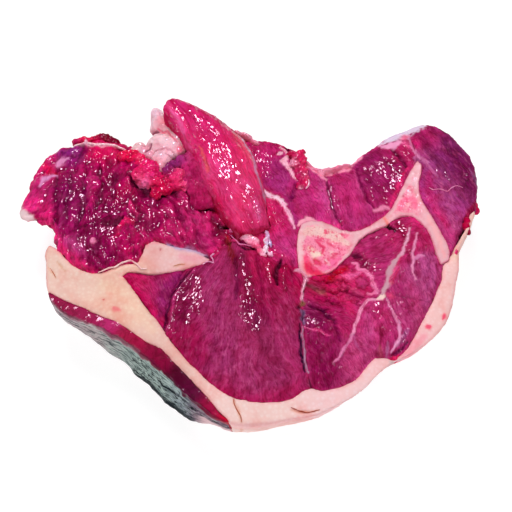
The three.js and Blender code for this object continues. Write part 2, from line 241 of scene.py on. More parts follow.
cutMarks = [
    # neck muscle, left of the tear
    mark([[-134, 92], [-126, 92], [-122, 90]], 4, 0, "6c2474", 0.4, haze=0.4),
    mark([[-128, 98], [-120, 100], [-112, 98.5], [-104, 98.5], [-96, 97]], 1.2, 0.5, "ecb4c8", 0.9),
    mark([[-114, 90], [-104, 90], [-94, 90]], 6, 0, "b8104c", 0.7),
    mark([[-133, 62], [-130, 50], [-128, 38]], 6, 0, "6e0844", 0.5),
    mark([[-110, 30], [-112, 18], [-104, 12]], 8, 0, "780a44", 0.5),
    mark([[-125, 20], [-120, 16], [-116, 13]], 4.5, 0, "a04078", 0.5, haze=0.4),
    mark([[-134, 22], [-129, 14], [-124, 9], [-116, 3], [-108, -1]], 3.2, 0.4, "d02868", 0.85),
    # painted shade: the dark tones laid along the neck's furrows in the marks below
    mark([[-108, 82], [-107, 72], [-105, 62], [-105, 50], [-108, 42]], 1.5, -2.4, "4c0424", 0.8),
    mark([[-118, 66], [-116, 54], [-117, 42], [-119, 30]], 1.7, -2.2, "500630", 0.75),
    mark([[-101, 32], [-94, 32], [-89, 37]], 1.7, -2.4, "3c0420", 0.8),
    mark([[-88, 74], [-86, 62], [-85, 54], [-83, 44], [-79, 37]], 1.7, 2.2, "cc2c6c", 0.65, wet=0.4),
    mark([[-97, 74], [-96, 62], [-97, 50], [-100, 41]], 1.3, -1.8, "5c0838", 0.65),
    mark([[-127, 72], [-126, 60], [-128, 48], [-126, 36]], 1.3, -1.8, "540634", 0.65),
    mark([[-113, 74], [-111, 62], [-110, 50], [-113, 42]], 2.6, 1.4, "b02060", 0.5),
    mark([[-123, 36], [-121, 26], [-117, 18]], 2.4, 1.2, "98205c", 0.4),
    mark([[-107, 30], [-105, 20], [-107, 10]], 1.5, -1.6, "60083c", 0.6),
    mark([[-136, 78], [-136, 66], [-136, 55], [-135, 44], [-134, 32]], 1.5, -2.2, "540430", 0.8),
    mark([[-148, 66], [-150, 54], [-146, 42]], 8, wet=-0.12),
    mark([[-130, 66], [-126, 60], [-124, 50]], 5, wet=0.4),
    mark([[-96, 64], [-91, 57], [-90, 46], [-95, 42]], 6, 0.5, wet=0.9),
    mark([[-124, 58], [-120, 48], [-118, 38]], 5, 0.3, wet=0.6),
    mark([[-108, 52], [-104, 42]], 4, 0.3, wet=0.6),
    mark([[-146, 60], [-143, 50], [-147, 44]], 4, 0.2, wet=0.5),
    mark([[-118, 86], [-112, 84]], 4, 0.2, wet=0.5),
    mark([[-78, 40], [-82, 30], [-84, 24]], 4, 0.3, wet=0.6),
    mark([[-113, 14], [-120, 22]], 4, 0.2, wet=0.5),
    mark([[-99, 7], [-92, 5]], 3, 0.2, wet=0.6),
    mark([[-95, 26], [-102, 26], [-105, 34]], 5, 0.5, wet=0.9),
    mark([[-95, 12], [-94, 18]], 4, 0.4, wet=0.9),
    mark([[-105, 80], [-97, 86]], 5, 0.4, wet=0.5),
    mark([[-152, 50], [-146, 46], [-139, 39]], 6, 0.4, "d82470", 0.8, wet=-0.2),
    mark([[-145, 80], [-141, 74], [-137, 73]], 3.2, 0.4, "c40c48", 0.8),
    mark([[-136, 80], [-133, 84], [-130, 86]], 1.9, 0.5, "dc8cbc", 0.9, wet=-0.4),
    mark([[-148, 64], [-144, 69], [-139, 71], [-136, 71]], 1.3, 0.5, "dc90c4", 0.9, wet=-0.4),
    seam([[-160, 52], [-159, 44], [-156, 40], [-152, 38]], 2.8, 0, "e8c8cc", 1.0, wet=-0.8),
    seam([[-81, 32], [-86, 33], [-91, 29], [-93, 23]], 2.6, 2.0, "d81c5c", 0.8),
    mark([[-108, 18]], 1.6, 0.9, "ee78a0", 1.0, wet=-0.4, crisp=3),
    mark([[-80, 17], [-86, 12], [-78, 20]], 2.2, 1.0, "crimson", 0.5),
    # painted shade in a small groove
    mark([[-84, 14], [-82, 18]], 1.2, -1.4, "deep", 0.5),
    # neck muscle, the torn part right of it
    # painted shade: the dark hollow under the torn lumps, and the dark grooves and near-black cracks below
    mark([[-86, 70], [-80, 64], [-74, 59], [-66, 58], [-58, 61]], 3.4, -3.4, "500830", 0.8),
    mark([[-78, 54], [-70, 48]], 4, 0, "7a0c44", 0.4),
    mark([[-72, 46], [-66, 34], [-70, 24]], 2.4, -0.8, "dark", 0.5),
    mark([[-58, 52], [-52, 40], [-46, 30]], 1.6, -1.0, "dark", 0.5),
    seam([[-43, 59], [-40, 60], [-37, 60]], 1.4, -2.2, "deep", 1.0),
    seam([[-40, 48], [-36, 47], [-31, 45]], 1.9, -3.2, "deep", 1.0),
    # painted highlight: a lilac spot in the crack
    mark([[-35, 48]], 1.0, -1.5, "9080b8", 0.9, wet=0.5),
    mark([[-44, 40], [-38, 28], [-30, 18]], 8, 0, "b4286a", 0.6, haze=0.4, wet=-0.4),
    mark([[-68, 48], [-60, 36], [-54, 26]], 6, wet=0.7),
    mark([[-50, 55], [-46, 47]], 5, wet=0.6),
    # between the neck, the lifted muscle and the great muscle
    # painted shadow: the dark grooves in the gap round the lifted muscle's lower end; the brown runs are the
    # meat's own stain
    mark([[-29, 37], [-25, 31], [-21, 26], [-19, 22]], 3.0, -1.4, "5a0818", 0.85),
    mark([[-24, 34], [-19, 33], [-14, 32]], 1.8, -2.6, "200408", 1.0),
    mark([[-19, 25], [-18, 19], [-17, 14], [-15, 8], [-13, 1]], 2.4, -1.0, "7c1808", 0.85),
    mark([[-17, 22], [-17, 17]], 1.0, -0.6, "5c3008", 0.7),
    mark([[-9, 16], [-5, 15], [-1, 15]], 1.3, -1.8, "30041a", 0.9),
    mark([[-16, 26], [-11, 22], [-7, 19]], 1.6, -1.2, "5c0838", 0.8),
    # great muscle
    # painted highlight: the raised pink rim along the great muscle's edge; painted shadow: the dark line
    # where that edge overhangs the corner muscle
    seam([[-40, 0], [-45, -7], [-50, -14], [-53, -21], [-54, -28], [-55, -35], [-57, -43]], 1.2, 1.5,
         "d03c84", 0.75, wet=0.25),
    seam([[-43, -1], [-49, -8], [-53.5, -16], [-56.5, -22], [-57, -28], [-58, -34], [-60, -43]], 0.8, -1.4,
         "40042c", 1.0),
    mark([[-55, -30], [-55, -38], [-56, -45]], 2.2, 0.4, wet=0.9),
    mark([[-50, -54], [-46, -52]], 2.4, 0.4, wet=1.0),
    # painted shade: the dark tones of the grooves and the slit among these marks
    mark([[1, 10], [2, 0], [4, -12], [4, -24]], 1.5, -1.5, "840c40", 0.6),
    mark([[8, 14], [14, 10], [22, 6]], 2.6, 1.0, "c41c54", 0.5, wet=0.5),
    mark([[24, 4], [24, -6], [25, -16]], 1.1, -1.2, "8c0c40", 0.6),
    mark([[0, -34], [1, -46]], 2.2, 0.2, "6c1044", 0.5, wet=0.9),
    mark([[17, 7], [15, 3], [13, -2], [12.8, -7], [13.6, -12]], 1.5, -2.6, "34041e", 0.95),
    mark([[19, 2], [19, -4], [18, -10], [19, -16]], 2.1, 2.4, "b00c48", 0.7, wet=1.0),
    mark([[8, 6], [9, -4], [10, -12]], 3.0, 1.4, "b81450", 0.5, wet=0.35),
    mark([[-14, 7], [-13, -4], [-12, -14], [-13, -24]], 1.5, -1.4, "5c0a3c", 0.7),
    mark([[-10, 10], [-8, -3], [-5, -16], [-3, -28]], 4.2, 1.7, "8c0c44", 0.6, wet=0.95),
    mark([[-7, -26], [-5, -34], [-4, -44]], 4.5, 0, "7c1044", 0.6, wet=0.8),
    mark([[2, -30], [8, -38]], 7, -0.4, "800c44", 0.5),
    mark([[-32, 2], [-30, -16], [-26, -38], [-18, -58], [-4, -72]], 8, 0.2, "9c3068", 0.5, haze=0.6,
         wet=-0.2),
    mark([[12, -70], [20, -46], [20, -24]], 7, 0, "a03064", 0.4, haze=0.5),
    mark([[-38, -8], [-38, -20], [-38, -34]], 4.0, 0, "940c48", 0.5, wet=0.8),
    mark([[-43, -6], [-47, -16], [-48, -28], [-45, -38]], 4.6, 0, "780c40", 0.5, wet=0.9),
    mark([[-57, -46], [-53, -54], [-48, -54]], 3.6, 0.5, "c8286c", 0.35, wet=1.0),
    mark([[-54, -66], [-40, -80], [-16, -89], [10, -91], [28, -82]], 5, 0, "b81c5c", 0.5),
    mark([[-42, -50], [-34, -64]], 7, 0, "a81450", 0.5),
    mark([[-18, -70], [0, -80], [16, -78]], 8, 0, "a43e76", 0.4, haze=0.6),
    # seam between the great muscle and the shank
    seam([[26, 0], [30, -1], [33, -5], [32, -10], [30, -16], [30, -22]], 1.3, 0.5, "e29ab8", 0.9),
    mark([[30, -23], [30, -26]], 1.4, -0.4, "6e6030", 0.8),
    # painted shade: the dark spot and the near-black seam line; painted highlight: the pale line along the
    # seam
    mark([[28, -28]], 1.3, -1.0, "deep", 0.9),
    mark([[30, -30], [30, -34], [31, -39]], 1.9, 0.2, "6c5a80", 0.9, wet=0.4),
    seam([[28, -40], [28, -49], [29, -56], [29, -63], [31, -73]], 0.9, -1.0, "1c0c2c", 1.0),
    seam([[30, -42], [30, -50], [31, -58], [31, -65], [33, -74]], 0.7, 0.3, "b494b0", 0.8),
    mark([[33, -78], [34, -82]], 1.2, 0.2, "c06090", 0.6),
    # the muscles behind, left to right
    mark([[8, 92], [4, 84], [6, 76]], 6, 0, "b01c60", 0.6, wet=0.5),
    mark([[-4, 100], [4, 98]], 4, 0, "a01850", 0.6, wet=0.5),
    mark([[14, 84], [18, 70], [14, 62]], 6, 0, "94286c", 0.6, haze=0.4, wet=-0.2),
    mark([[4, 52], [8, 42], [12, 30]], 4.5, 0, "c01c58", 0.6, wet=0.3),
    mark([[14, 46], [18, 36], [22, 26]], 4, 0, "b01050", 0.5),
    mark([[18, 60], [24, 46], [28, 34]], 2.6, -0.4, "8e2466", 0.6),
    mark([[0, 82], [1, 73], [3, 66], [6, 60]], 1.1, 0.2, "c87cb0", 0.8),
    seam([[5, 61], [8, 57], [13, 55], [17, 52], [19, 48]], 2.1, 0.5, "fcc8dc", 1.0),
    seam([[19, 48], [22, 41], [24, 36], [26, 30]], 1.4, 0.4, "f4a8c8", 1.0),
    seam([[17, 99], [20, 96], [22, 92], [21, 87], [19, 86], [21, 82], [23, 78], [25, 73], [28, 69]], 1.6, 0.5,
         "fcb0c8", 1.0),
    seam([[15, 92], [18, 93]], 1.5, 0.5, "f4b8cc", 0.9),
    # painted shade: the dark tones of the seams and grooves among the back muscles' marks
    mark([[21, 99], [25, 94], [25, 88]], 1.2, -1.2, "5a0630", 0.9),
    mark([[27, 66], [25, 56]], 2.2, -0.9, "700c48", 0.7),
    mark([[25, 60], [24, 52]], 1.4, -0.8, "5c0c44", 0.5),
    mark([[36, 74], [38, 60], [42, 46]], 7, 0, "a02464", 0.4, haze=0.4),
    mark([[45, 70], [47, 56], [52, 40]], 3.2, 0.3, "b44484", 0.6, haze=0.5),
    seam([[48, 74], [49, 62], [50, 56], [52, 48], [54, 41], [58, 34]], 1.2, -1.2, "50062c", 0.9),
    mark([[46, 73], [47, 64], [48, 57], [50, 48], [52, 40]], 0.8, 0.2, "d0508c", 0.7),
    mark([[51, 64], [53, 50], [56, 40]], 2.4, 0.5, "a02460", 0.3, wet=1.0),
    mark([[60, 70], [64, 56], [70, 46]], 6, 0, "bc2c70", 0.6, wet=-0.1),
    mark([[70, 81], [71, 71], [76, 56], [81, 47]], 1.2, -1.5, "6c0840", 0.85),
    mark([[68, 80], [69, 70], [74, 55], [79, 47]], 0.8, 0.5, "d04c8c", 0.6),
    mark([[76, 78], [84, 82], [94, 80], [92, 68], [84, 60]], 8, 0, "8a1450", 0.7, wet=0.5),
    seam([[95, 95], [100, 88], [104, 81]], 1.3, -1.8, "4c0428", 0.9),
    mark([[99, 97], [104, 92], [107, 84]], 3.4, 0.7, "b4205c", 0.6, wet=0.2),
    mark([[97, 101], [104, 101], [108, 95]], 1.5, 0.5, "dc5c90", 0.8),
    mark([[84, 104], [92, 109], [102, 113], [114, 116]], 8.0, 0, "dcc6dc", 1.0, wet=-0.6, crisp=3),
    seam([[89, 98], [95, 98], [100, 102]], 2.8, 0.2, "ec9cc4", 0.95, wet=-0.6),
    mark([[103, 105], [107, 107]], 2.6, 0.2, "f47ca0", 0.8, wet=-0.3),
    seam([[108, 106], [108, 100], [110, 93], [114, 86], [118, 82]], 1.2, 0.1, "e08cb8", 0.85),
    mark([[110, 88], [113, 83]], 2.0, 0, "b870a8", 0.7),
    mark([[116, 83], [120, 77], [124, 70]], 0.9, 0.1, "d888b8", 0.7),
    seam([[35, 84], [41, 78], [48, 77], [55, 80], [61, 80], [67, 85], [74, 90]], 2.6, 0.6, "f494b4", 1.0,
         wet=-0.2),
    seam([[44, 74], [48, 70]], 1.8, 0.4, "f494b4", 0.9),
    seam([[29, 33], [31, 36], [35, 38], [40, 36], [45, 34]], 1.9, 0.7, "f4a0b8", 1.0),
    mark([[45, 34], [52, 31], [57, 35]], 1.1, 0.3, "e03c7c", 0.85),
    mark([[105, 79], [101, 72], [97, 64], [94, 56], [91, 49]], 1.1, 0.2, "d82c6c", 0.8),
    seam([[80, 45], [86, 48], [91, 47]], 1.9, 0.7, "ec88b0", 0.9),
    # inside the blade's fork
    # painted shade: the dark crimson and near-black grooves and cracks among the fork's marks
    mark([[64, 19], [70, 24], [78, 29], [86, 33]], 1.0, -1.0, "6c0834", 0.8),
    seam([[86, 35], [90, 33], [93, 30]], 1.6, -2.0, "300418", 1.0),
    mark([[95, 35], [98, 29], [100, 24]], 3.0, -1.0, "880838", 0.8, wet=0.9),
    mark([[92, 42], [101, 42], [109, 34], [114, 22]], 1.4, -0.6, "b81c5c", 0.7),
    mark([[66, 8], [70, 6], [74, 2], [80, 0]], 3.0, -0.6, "800c40", 0.6, wet=0.3),
    mark([[64, 12], [70, 10]], 1.6, -1.8, "3c0420", 0.9),
    mark([[74, 16], [80, 18], [86, 16]], 6, 0, "a02460", 0.5, haze=0.3),
    mark([[80, 12], [86, 4], [88, -2]], 5, 0, "98205c", 0.5, haze=0.5),
    mark([[112, 10], [114, -8], [112, -30]], 6, 0, "ac4480", 0.6, haze=0.9),
    mark([[100, -24], [104, -42]], 6, 0, "ac3c70", 0.6, haze=0.7),
    mark([[120, 4], [119, -14], [112, -34], [104, -48]], 2.0, -0.4, "8c0c44", 0.6),
    mark([[104, 18], [106, 6], [107, -6]], 1.6, -0.6, "940c4c", 0.6),
    mark([[94, -14], [98, -24], [98, -38]], 3, -0.3, "901450", 0.5),
    mark([[49, -6], [54, -1], [60, 2]], 3.0, -0.3, "b00420", 0.9),
    mark([[57, -4], [62, -4], [68, -2]], 2.2, 0.6, "ee5c94", 0.9),
    mark([[40, -4], [45, -4]], 3.2, 0, "c01450", 0.5),
    mark([[34, -10], [39, -13], [44, -15]], 2.4, -0.4, "5e3430", 0.8),
    mark([[40, -14], [46, -17]], 1.1, 0.2, "b86468", 0.6),
    mark([[34, -26], [40, -29], [46, -29]], 1.3, -1.6, "4c082c", 0.9),
    mark([[43, -29], [46, -34], [50, -37]], 1.4, -1.0, "480c38", 0.8),
    mark([[50, -38], [52, -46], [54, -52]], 1.8, -0.6, "60083c", 0.7),
    mark([[60, -16], [65, -18], [70, -20]], 1.6, -1.0, "6c0834", 0.8),
    mark([[52, -18], [60, -24], [62, -32]], 3, 0.3, "c02058", 0.5),
    mark([[56, -30], [52, -24], [46, -22]], 2.0, -0.5, "8c0c44", 0.5),
    mark([[36, -34], [40, -40]], 5, 0, "70103e", 0.5, wet=0.25),
    mark([[36, -54], [42, -62], [44, -74]], 8, 0, "7c1044", 0.6),
    seam([[31, -42], [35, -44], [40, -45], [44, -48], [47, -49]], 0.9, 0.5, "dc4c8c", 0.85),
    mark([[64, -56], [66, -72], [60, -84]], 7, 0, "b43e74", 0.7, haze=0.7, wet=-0.2),
    mark([[72, -36], [72, -52], [70, -70]], 5, 0, "b84080", 0.6, haze=0.8, wet=-0.2),
    mark([[78, -26], [78, -36]], 3.5, -0.3, "9c1450", 0.6, wet=0.5),
    mark([[81, -40], [80, -48], [79, -58]], 1.2, -0.9, "7c0c38", 0.7),
    mark([[79, -56], [79, -66]], 1.8, -0.4, "944450", 0.6),
    mark([[86, -62], [92, -58], [97, -52]], 1.1, -1.0, "58103c", 0.9, wet=0.3),
    mark([[89, -55], [94, -50], [97, -44]], 1.8, 0.3, "a05c90", 0.6, wet=0.3),
    mark([[84, -54], [83, -60], [83, -65]], 0.9, 0.2, "ac6c98", 0.7),
    mark([[86, -65], [90, -62]], 1.8, 0.6, "e0205c", 0.9, wet=0.4),
    seam([[103, 31], [100, 20], [96, 10], [92, 5]], 1.2, 0.3, "dc98b4", 1.0, wet=-0.2),
    seam([[95, 9], [91, 4], [88, -2], [87, -9], [84, -14], [82, -19]], 2.2, 0.2, "c894a4", 1.0, wet=-0.9),
    mark([[97, 9], [93, 3], [90, -3], [88, -10]], 0.9, 0, "d8447c", 0.8),
    seam([[108, 27], [106, 20], [104, 12], [104, 5], [103, -3], [105, -8]], 1.1, 0.3, "e088b0", 1.0),
    seam([[104, 6], [107, 9], [112, 10]], 1.0, 0.2, "d47cac", 0.95),
    seam([[82, -22], [77, -22], [73, -22], [70, -26], [67, -32], [65, -38], [63, -44], [61, -50]], 1.2, 0.4,
         "ec90b8", 1.0),
    seam([[61, -50], [57, -57], [53, -64], [49, -67]], 1.1, 0.3, "dc7cac", 0.95),
    mark([[62, -49], [63, -54], [66, -60]], 0.8, 0.2, "b85c94", 0.7),
    seam([[85, -22], [87, -27], [89, -32], [91, -37], [92, -42], [92, -49], [90, -54], [86, -60]], 1.15, 0.3,
         "e08cb8", 1.0),
    seam([[64, 6], [67, 4], [68, 1], [73, -1], [76, -5], [77, -10], [79, -16], [76, -18], [73, -17]], 1.5,
         0.5, "f07cac", 1.0),
    mark([[70, -18], [64, -14], [60, -12]], 1.4, 0.3, "d04c80", 0.7),
    mark([[94, 0], [91, -7], [89, -11]], 0.9, 0.2, "c82c54", 0.6),
    seam([[83, -20], [80, -21]], 2.2, 0.5, "f4d0c8", 0.95),
    mark([[86, -18], [90, -20]], 2.0, 0.3, "dc4c78", 0.6),
    # end muscle
    mark([[115, 92], [120, 78], [126, 64], [130, 50], [134, 32]], 5, 0, "a04480", 0.5, haze=1.0, wet=-0.2),
    mark([[112, 104], [112, 96]], 3.4, 0, "b01c5c", 0.7),
    mark([[119, 74], [118, 60], [122, 46], [128, 34]], 3.5, 0, "b01c5c", 0.6),
    mark([[132, 94], [142, 82], [147, 68]], 8, 0, "70144c", 0.7, haze=0.5, wet=0.2),
    mark([[140, 78], [144, 70], [142, 62]], 5, 0, "6a1044", 0.4, wet=0.5),
    mark([[128, 34], [132, 24], [132, 14]], 5, 0, "b02c6c", 0.4, haze=0.4),
    # painted shadow: the near-black line between the end muscle and the fat strip
    mark([[142, 40], [140, 32], [138, 26], [135, 19], [132, 14]], 1.9, -2.6, "300416", 1.0),
    mark([[146, 78], [149, 72], [151, 65], [152, 56]], 0.8, 0.2, "9c6ca0", 0.4),
    mark([[124, 76], [130, 70], [137, 62], [139, 54]], 5, wet=0.5),
    mark([[130, 100], [138, 90]], 4, wet=0.4),
    mark([[150, 52], [147, 47], [142, 40]], 2.4, 0.8, "900834", 0.9, wet=0.3),
    # corner muscle
    mark([[-88, -4], [-78, -14], [-64, -34]], 2.4, 0.3, "c4145a", 0.6),
    mark([[-66, -4], [-60, -14], [-61, -30]], 4, 0, "9c2464", 0.5, haze=0.3),
    mark([[-51, -4], [-57, -12], [-61, -22], [-62, -32]], 4.4, 0, "842064", 0.6),
    mark([[-59, 18], [-52, 15], [-44, 14], [-33, 10]], 2.0, 0, "b8a4d0", 0.85),
    mark([[-34, 10], [-31, 9]], 0.9, -1.2, "3c0c30", 0.9),
]

# the fat cover and its wedge
fatMarks = [
    mark([[-137, 3], [-132, -5]], 0.8, -0.6, "d89c78", 0.6),
    mark([[-131, 6], [-126, -1]], 0.8, -0.4, "d8a080", 0.6),
    mark([[-14, -91], [-11, -100], [-9, -106]], 0.9, -0.7, "dc9878", 0.6),
    mark([[22, -98], [29, -100], [39, -98]], 0.9, -0.7, "dc9878", 0.6),
    mark([[-100, -10], [-84, -20], [-66, -44]], 5, 0, "f0d4bc", 0.5),
    mark([[-93, -27], [-89, -29]], 1.7, 0.4, "f08894", 0.8),
    mark([[-130, -10], [-105, -30], [-84, -43], [-64, -64]], 3.6, 0, "e4b8ac", 0.6),
    mark([[-100, -20]], 0.9, 0.2, "d02040", 0.9),
    mark([[-101, -24], [-101, -33]], 1.6, 0.5, wet=0.9),
    mark([[110, -42], [112, -41]], 2.0, 0, "f43c70", 0.9),
    mark([[122, -32], [121, -36]], 1.4, 0, "f43c70", 0.9),
    mark([[108, -48], [100, -56], [92, -66]], 3.6, 0, "fc98b0", 0.6),
    mark([[-58, 18], [-52, 16], [-44, 15], [-33, 10]], 1.6, 0, "b8a4d0", 0.85),
    mark([[-50, 10], [-40, 7], [-32, 9]], 3.6, 0, "e8a0b4", 0.6),
    mark([[-73, 18], [-71, 22], [-66, 19]], 2.6, 0, "e8809c", 0.6),
    mark([[-54, 3], [-47, 4]], 0.8, -0.3, "dca080", 0.5),
    mark([[-63, 14]], 0.8, -0.3, "c04060", 0.8),
    mark([[-34, 10], [-31, 9]], 0.9, -1.2, "3c0c30", 0.9),
    mark([[148, 50], [145, 40], [140, 28], [134, 14]], 2.8, 0, "f0c4c0", 0.8),
    mark([[86, -67], [91, -67], [95, -65]], 2.6, 0, "c8ccd4", 0.6),
]

# the blade: marrow, its dark clots and the saw line
boneMarks = [
    seam([[33, 27], [41, 29], [50, 26], [60, 20]], 4.2, 0.3, "ecc0bc", 0.95),
    seam([[30, 28], [29.5, 14], [31, 2]], 2.2, 0.2, "ecb8c0", 0.95),
    mark([[36, 15], [39, 11], [43, 12]], 2.6, 0, "fcdcc8", 0.8),
    mark([[50, 13], [53, 10]], 2.2, 0, "fcc8c8", 0.6),
    mark([[33, 8], [35, 0], [41, -2]], 3.2, 0, "f42c68", 0.8),
    mark([[33, 3], [38, -2], [46, -3]], 2.2, 0, "e01450", 0.8),
    mark([[44, 2], [50, 4], [55, 9]], 3.6, 0, "f8649c", 0.8),
    mark([[54, 19], [58, 15]], 3.0, 0, "f886a4", 0.6),
    mark([[41, 20], [45, 16], [44, 12]], 1.2, -0.4, "dc1c58", 0.9),
    mark([[48, 20], [52, 17]], 1.1, -0.3, "e43c70", 0.8),
    mark([[39, 7], [42, 4]], 2.0, -0.5, "cc0430", 0.9),
    mark([[50, 9], [53, 12]], 1.2, -0.3, "e03468", 0.8),
    mark([[36, 4], [38, -1]], 1.2, -0.3, "c80438", 0.7),
    mark([[46, 7], [48, 4]], 1.4, 0, "fcc8d4", 0.8),
    mark([[66, 16], [58, 6], [50, -2], [44, -5]], 1.1, 0.3, "f0bcc8", 0.8),
    mark([[97, 47], [101, 52], [106, 54], [108, 48]], 3.2, 0, "fc6890", 0.85),
    mark([[103, 50]], 1.6, 0, "f8b4b8", 0.7),
    mark([[100, 57]], 0.9, -0.2, "c84060", 0.8),
    mark([[104, 58], [110, 72]], 1.6, 0, "e8b0bc", 0.6),
    mark([[86, 40], [89, 33]], 1.3, -0.4, "ec6458", 0.7),
    mark([[68, 16], [71, 20], [75, 24], [80, 26.5], [86, 30]], 1.5, -1.0, "8c1c50", 1.0, crisp=3),
    mark([[116, 40], [122, 24], [125, 10]], 1.8, 0, "f4a8ac", 0.6),
]

liftedMarks = [
    mark([[-66, 116], [-61, 109], [-57, 101], [-52, 92], [-48, 84]], 2.6, 0, "b40c48", 0.85),
    mark([[-60, 122], [-57, 114], [-52, 105], [-47, 92], [-44, 84]], 1.3, 0.6, "f45c9c", 0.85, wet=-0.1),
    mark([[-57, 124], [-53, 114], [-48, 104], [-43, 92]], 1.0, -0.6, "b80c4c", 0.65),
    mark([[-43, 105], [-39, 108], [-33, 106]], 0.7, -0.4, "98103c", 0.8),
    mark([[-46, 118], [-38, 112], [-30, 112]], 4, 0, "c41c60", 0.5),
    mark([[-32, 116], [-22, 108], [-14, 100]], 2.0, 0, "b01454", 0.7),
    mark([[-40, 98], [-36, 88]], 7, 0, "cc2c70", 0.6, wet=-0.25),
    mark([[-31, 111], [-26, 104], [-19, 95], [-14, 84]], 4.0, 0.3, wet=0.8),
    mark([[-38, 92], [-34, 84], [-32, 76], [-30, 68]], 3.6, 0.5, wet=1.0),
    mark([[-29, 76], [-24, 64], [-20, 55], [-17, 46]], 3.2, 0.6, wet=1.0),
    mark([[-21, 86], [-15, 76], [-10, 64], [-7, 53]], 3.0, 0.4, wet=0.9),
    mark([[-5, 62], [-2, 50], [0, 36]], 3.0, 0.4, "dc4480", 0.4, wet=0.95),
    mark([[-29, 56], [-26, 47], [-22, 38], [-18, 32]], 2.4, 0.3, "c81448", 0.5, wet=0.9),
    mark([[-38, 84], [-35, 76], [-32, 66]], 1.4, 0, "e86458", 0.6),
    mark([[-14, 95], [-9, 88], [-5, 79]], 3.4, 0, "ee5470", 0.7),
    mark([[-14, 60], [-10, 44], [-9, 34]], 6, 0, "e8407c", 0.7, wet=-0.1),
    mark([[-24, 92], [-16, 80]], 5, 0, "d0246a", 0.5),
    mark([[-44, 98], [-38, 86], [-34, 74], [-28, 60], [-24, 48]], 4.4, wet=0.5),
    mark([[-12, 76], [-8, 64], [-5, 50]], 4.0, wet=0.6),
    mark([[-13, 104], [-8, 92], [-2, 80], [0, 69], [4, 59], [7, 50], [9, 42]], 1.1, 0.1, "cc98bc", 0.8),
    # painted shadow along the lifted muscle's lower-left edge
    mark([[-33, 54], [-28, 43], [-23, 33], [-16, 27], [-8, 22], [0, 20]], 2.4, 0, "98082c", 0.85),
    mark([[0, 44], [2, 34]], 2.4, 0.1, "d06098", 0.6, wet=0.2),
]


def planOf(points):
    # frame positions as plan millimetres
    return (points[:, :2] - planZero) / mm


def frameOf(spots):
    # plan millimetres, with a height, as frame positions
    spots = np.asarray(spots, float)
    return np.column_stack([spots[:, :2] * mm + planZero, spots[:, 2] * mm])


def deepen(flat, height=0.0):
    return np.column_stack([flat, np.full(len(flat), height)])


def wandering(flat, reach=0.9, size=5.0, height=0.0):
    # plan points pushed about a little, so that drawn lines look torn rather than ruled
    place = deepen(flat / size, height / size)
    return flat + reach * np.column_stack([warpNoise(place), warpNoise(place + 31.7)])


def unevenness(settings, place, creasePlace=None):
    # how far lumps and creases lift each point; both are [size, depth], and creases have sharp valleys
    push = np.zeros(len(place))
    for size, depth in settings["lumps"]:
        push += depth * layered(broadNoise, place, size, 2)
    for size, depth in settings.get("creased", []):
        push += depth * (np.abs(layered(fineNoise, creasePlace, size, 2)) * 1.6 - 0.5)
    return push


def plainFinish(flat, wet=0.0):
    # three values per point: how far fat, sinew or stain hides the meat; how wet it is; and its painted lilac
    # sheen, its marrow or its blots
    finish = np.zeros((len(flat), 3))
    finish[:, 1] = wet
    return finish


markLook = {"drift": 3.0, "driftSize": 9.0, "roughSize": 3.0, "uneven": 0.45, "thinnest": 0.3, "tips": 0.6,
            "cover": 1.3, "fatTones": [0.1, 0.28]}


def applyMarks(flat, paint, finish, marks, shown=None, depth=0.0):
    # lays the marks' colours and finish over the points, as far as each point is shown, and returns their
    # relief in millimetres; fat and sinew tones raise the first finish value, which stills the meat's streaks
    relief = np.zeros(len(flat))
    # marks wander with depth, so that none runs straight down a wall
    reach, size = markLook["drift"], markLook["driftSize"]
    drift = wandering(flat, reach, size, depth) - wandering(flat, reach, size)
    bent = wandering(flat, height=depth) + 0.5 * drift
    rough = layered(fineNoise, deepen(flat, depth), markLook["roughSize"], 2)
    tips = markLook["tips"]
    for entry in marks:
        curve, width = entry["curve"], entry["width"]
        reach = 2.6 * width + 1.5
        near = np.all((bent > curve.min(0) - reach) & (bent < curve.max(0) + reach), axis=1)
        if not near.any():
            continue
        distance, along = distanceToPath(bent[near], curve)
        taper = tips + (1 - tips) * np.sin(np.pi * np.clip(along, 0.02, 0.98)) if len(curve) > 1 else 1.0
        local = np.maximum(width * taper * (1 + markLook["uneven"] * rough[near]), markLook["thinnest"])
        share = np.exp(-((distance / local) ** (2 * entry["crisp"])))
        relief[near] += entry["rise"] * share
        share = share if shown is None else share * shown[near]
        if entry["tone"]:
            amount = np.clip(share * markLook["cover"], 0, 1) * entry["strong"]
            tone = toneOf(entry["tone"])
            paint[near] += (tone - paint[near]) * amount[:, None]
            finish[near, 0] += (smoothStep(*markLook["fatTones"], tone[1]) - finish[near, 0]) * amount
        finish[near, 1] += entry["wet"] * share
        # the sheen haze brightens the lilac streaks: a painted sheen
        finish[near, 2] += entry["haze"] * share
    np.clip(finish, 0, 1, out=finish)
    return relief


def meshOf(objectMesh, voxel, rounding):
    # a closed quad mesh over a copy of a solid's mesh, its corners rounded off
    work = bpy.data.objects.new("work", objectMesh)
    bpy.context.scene.collection.objects.link(work)
    remesh = work.modifiers.new("remesh", "REMESH")
    remesh.mode = "VOXEL"
    remesh.voxel_size = voxel * mm
    smooth = work.modifiers.new("smooth", "SMOOTH")
    smooth.factor = 0.5
    smooth.iterations = rounding
    shaped = work.evaluated_get(bpy.context.evaluated_depsgraph_get())
    result = bpy.data.meshes.new_from_object(shaped)
    bpy.data.objects.remove(work)
    return result


def mergedSolid(node):
    # the node's loose triangles joined into one solid
    build = bmesh.new()
    build.from_mesh(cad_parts[node].data)
    bmesh.ops.remove_doubles(build, verts=build.verts, dist=1e-5)
    return build


swell = 0.35  # how far the pieces grow, to close the thin gaps between the frame's solids


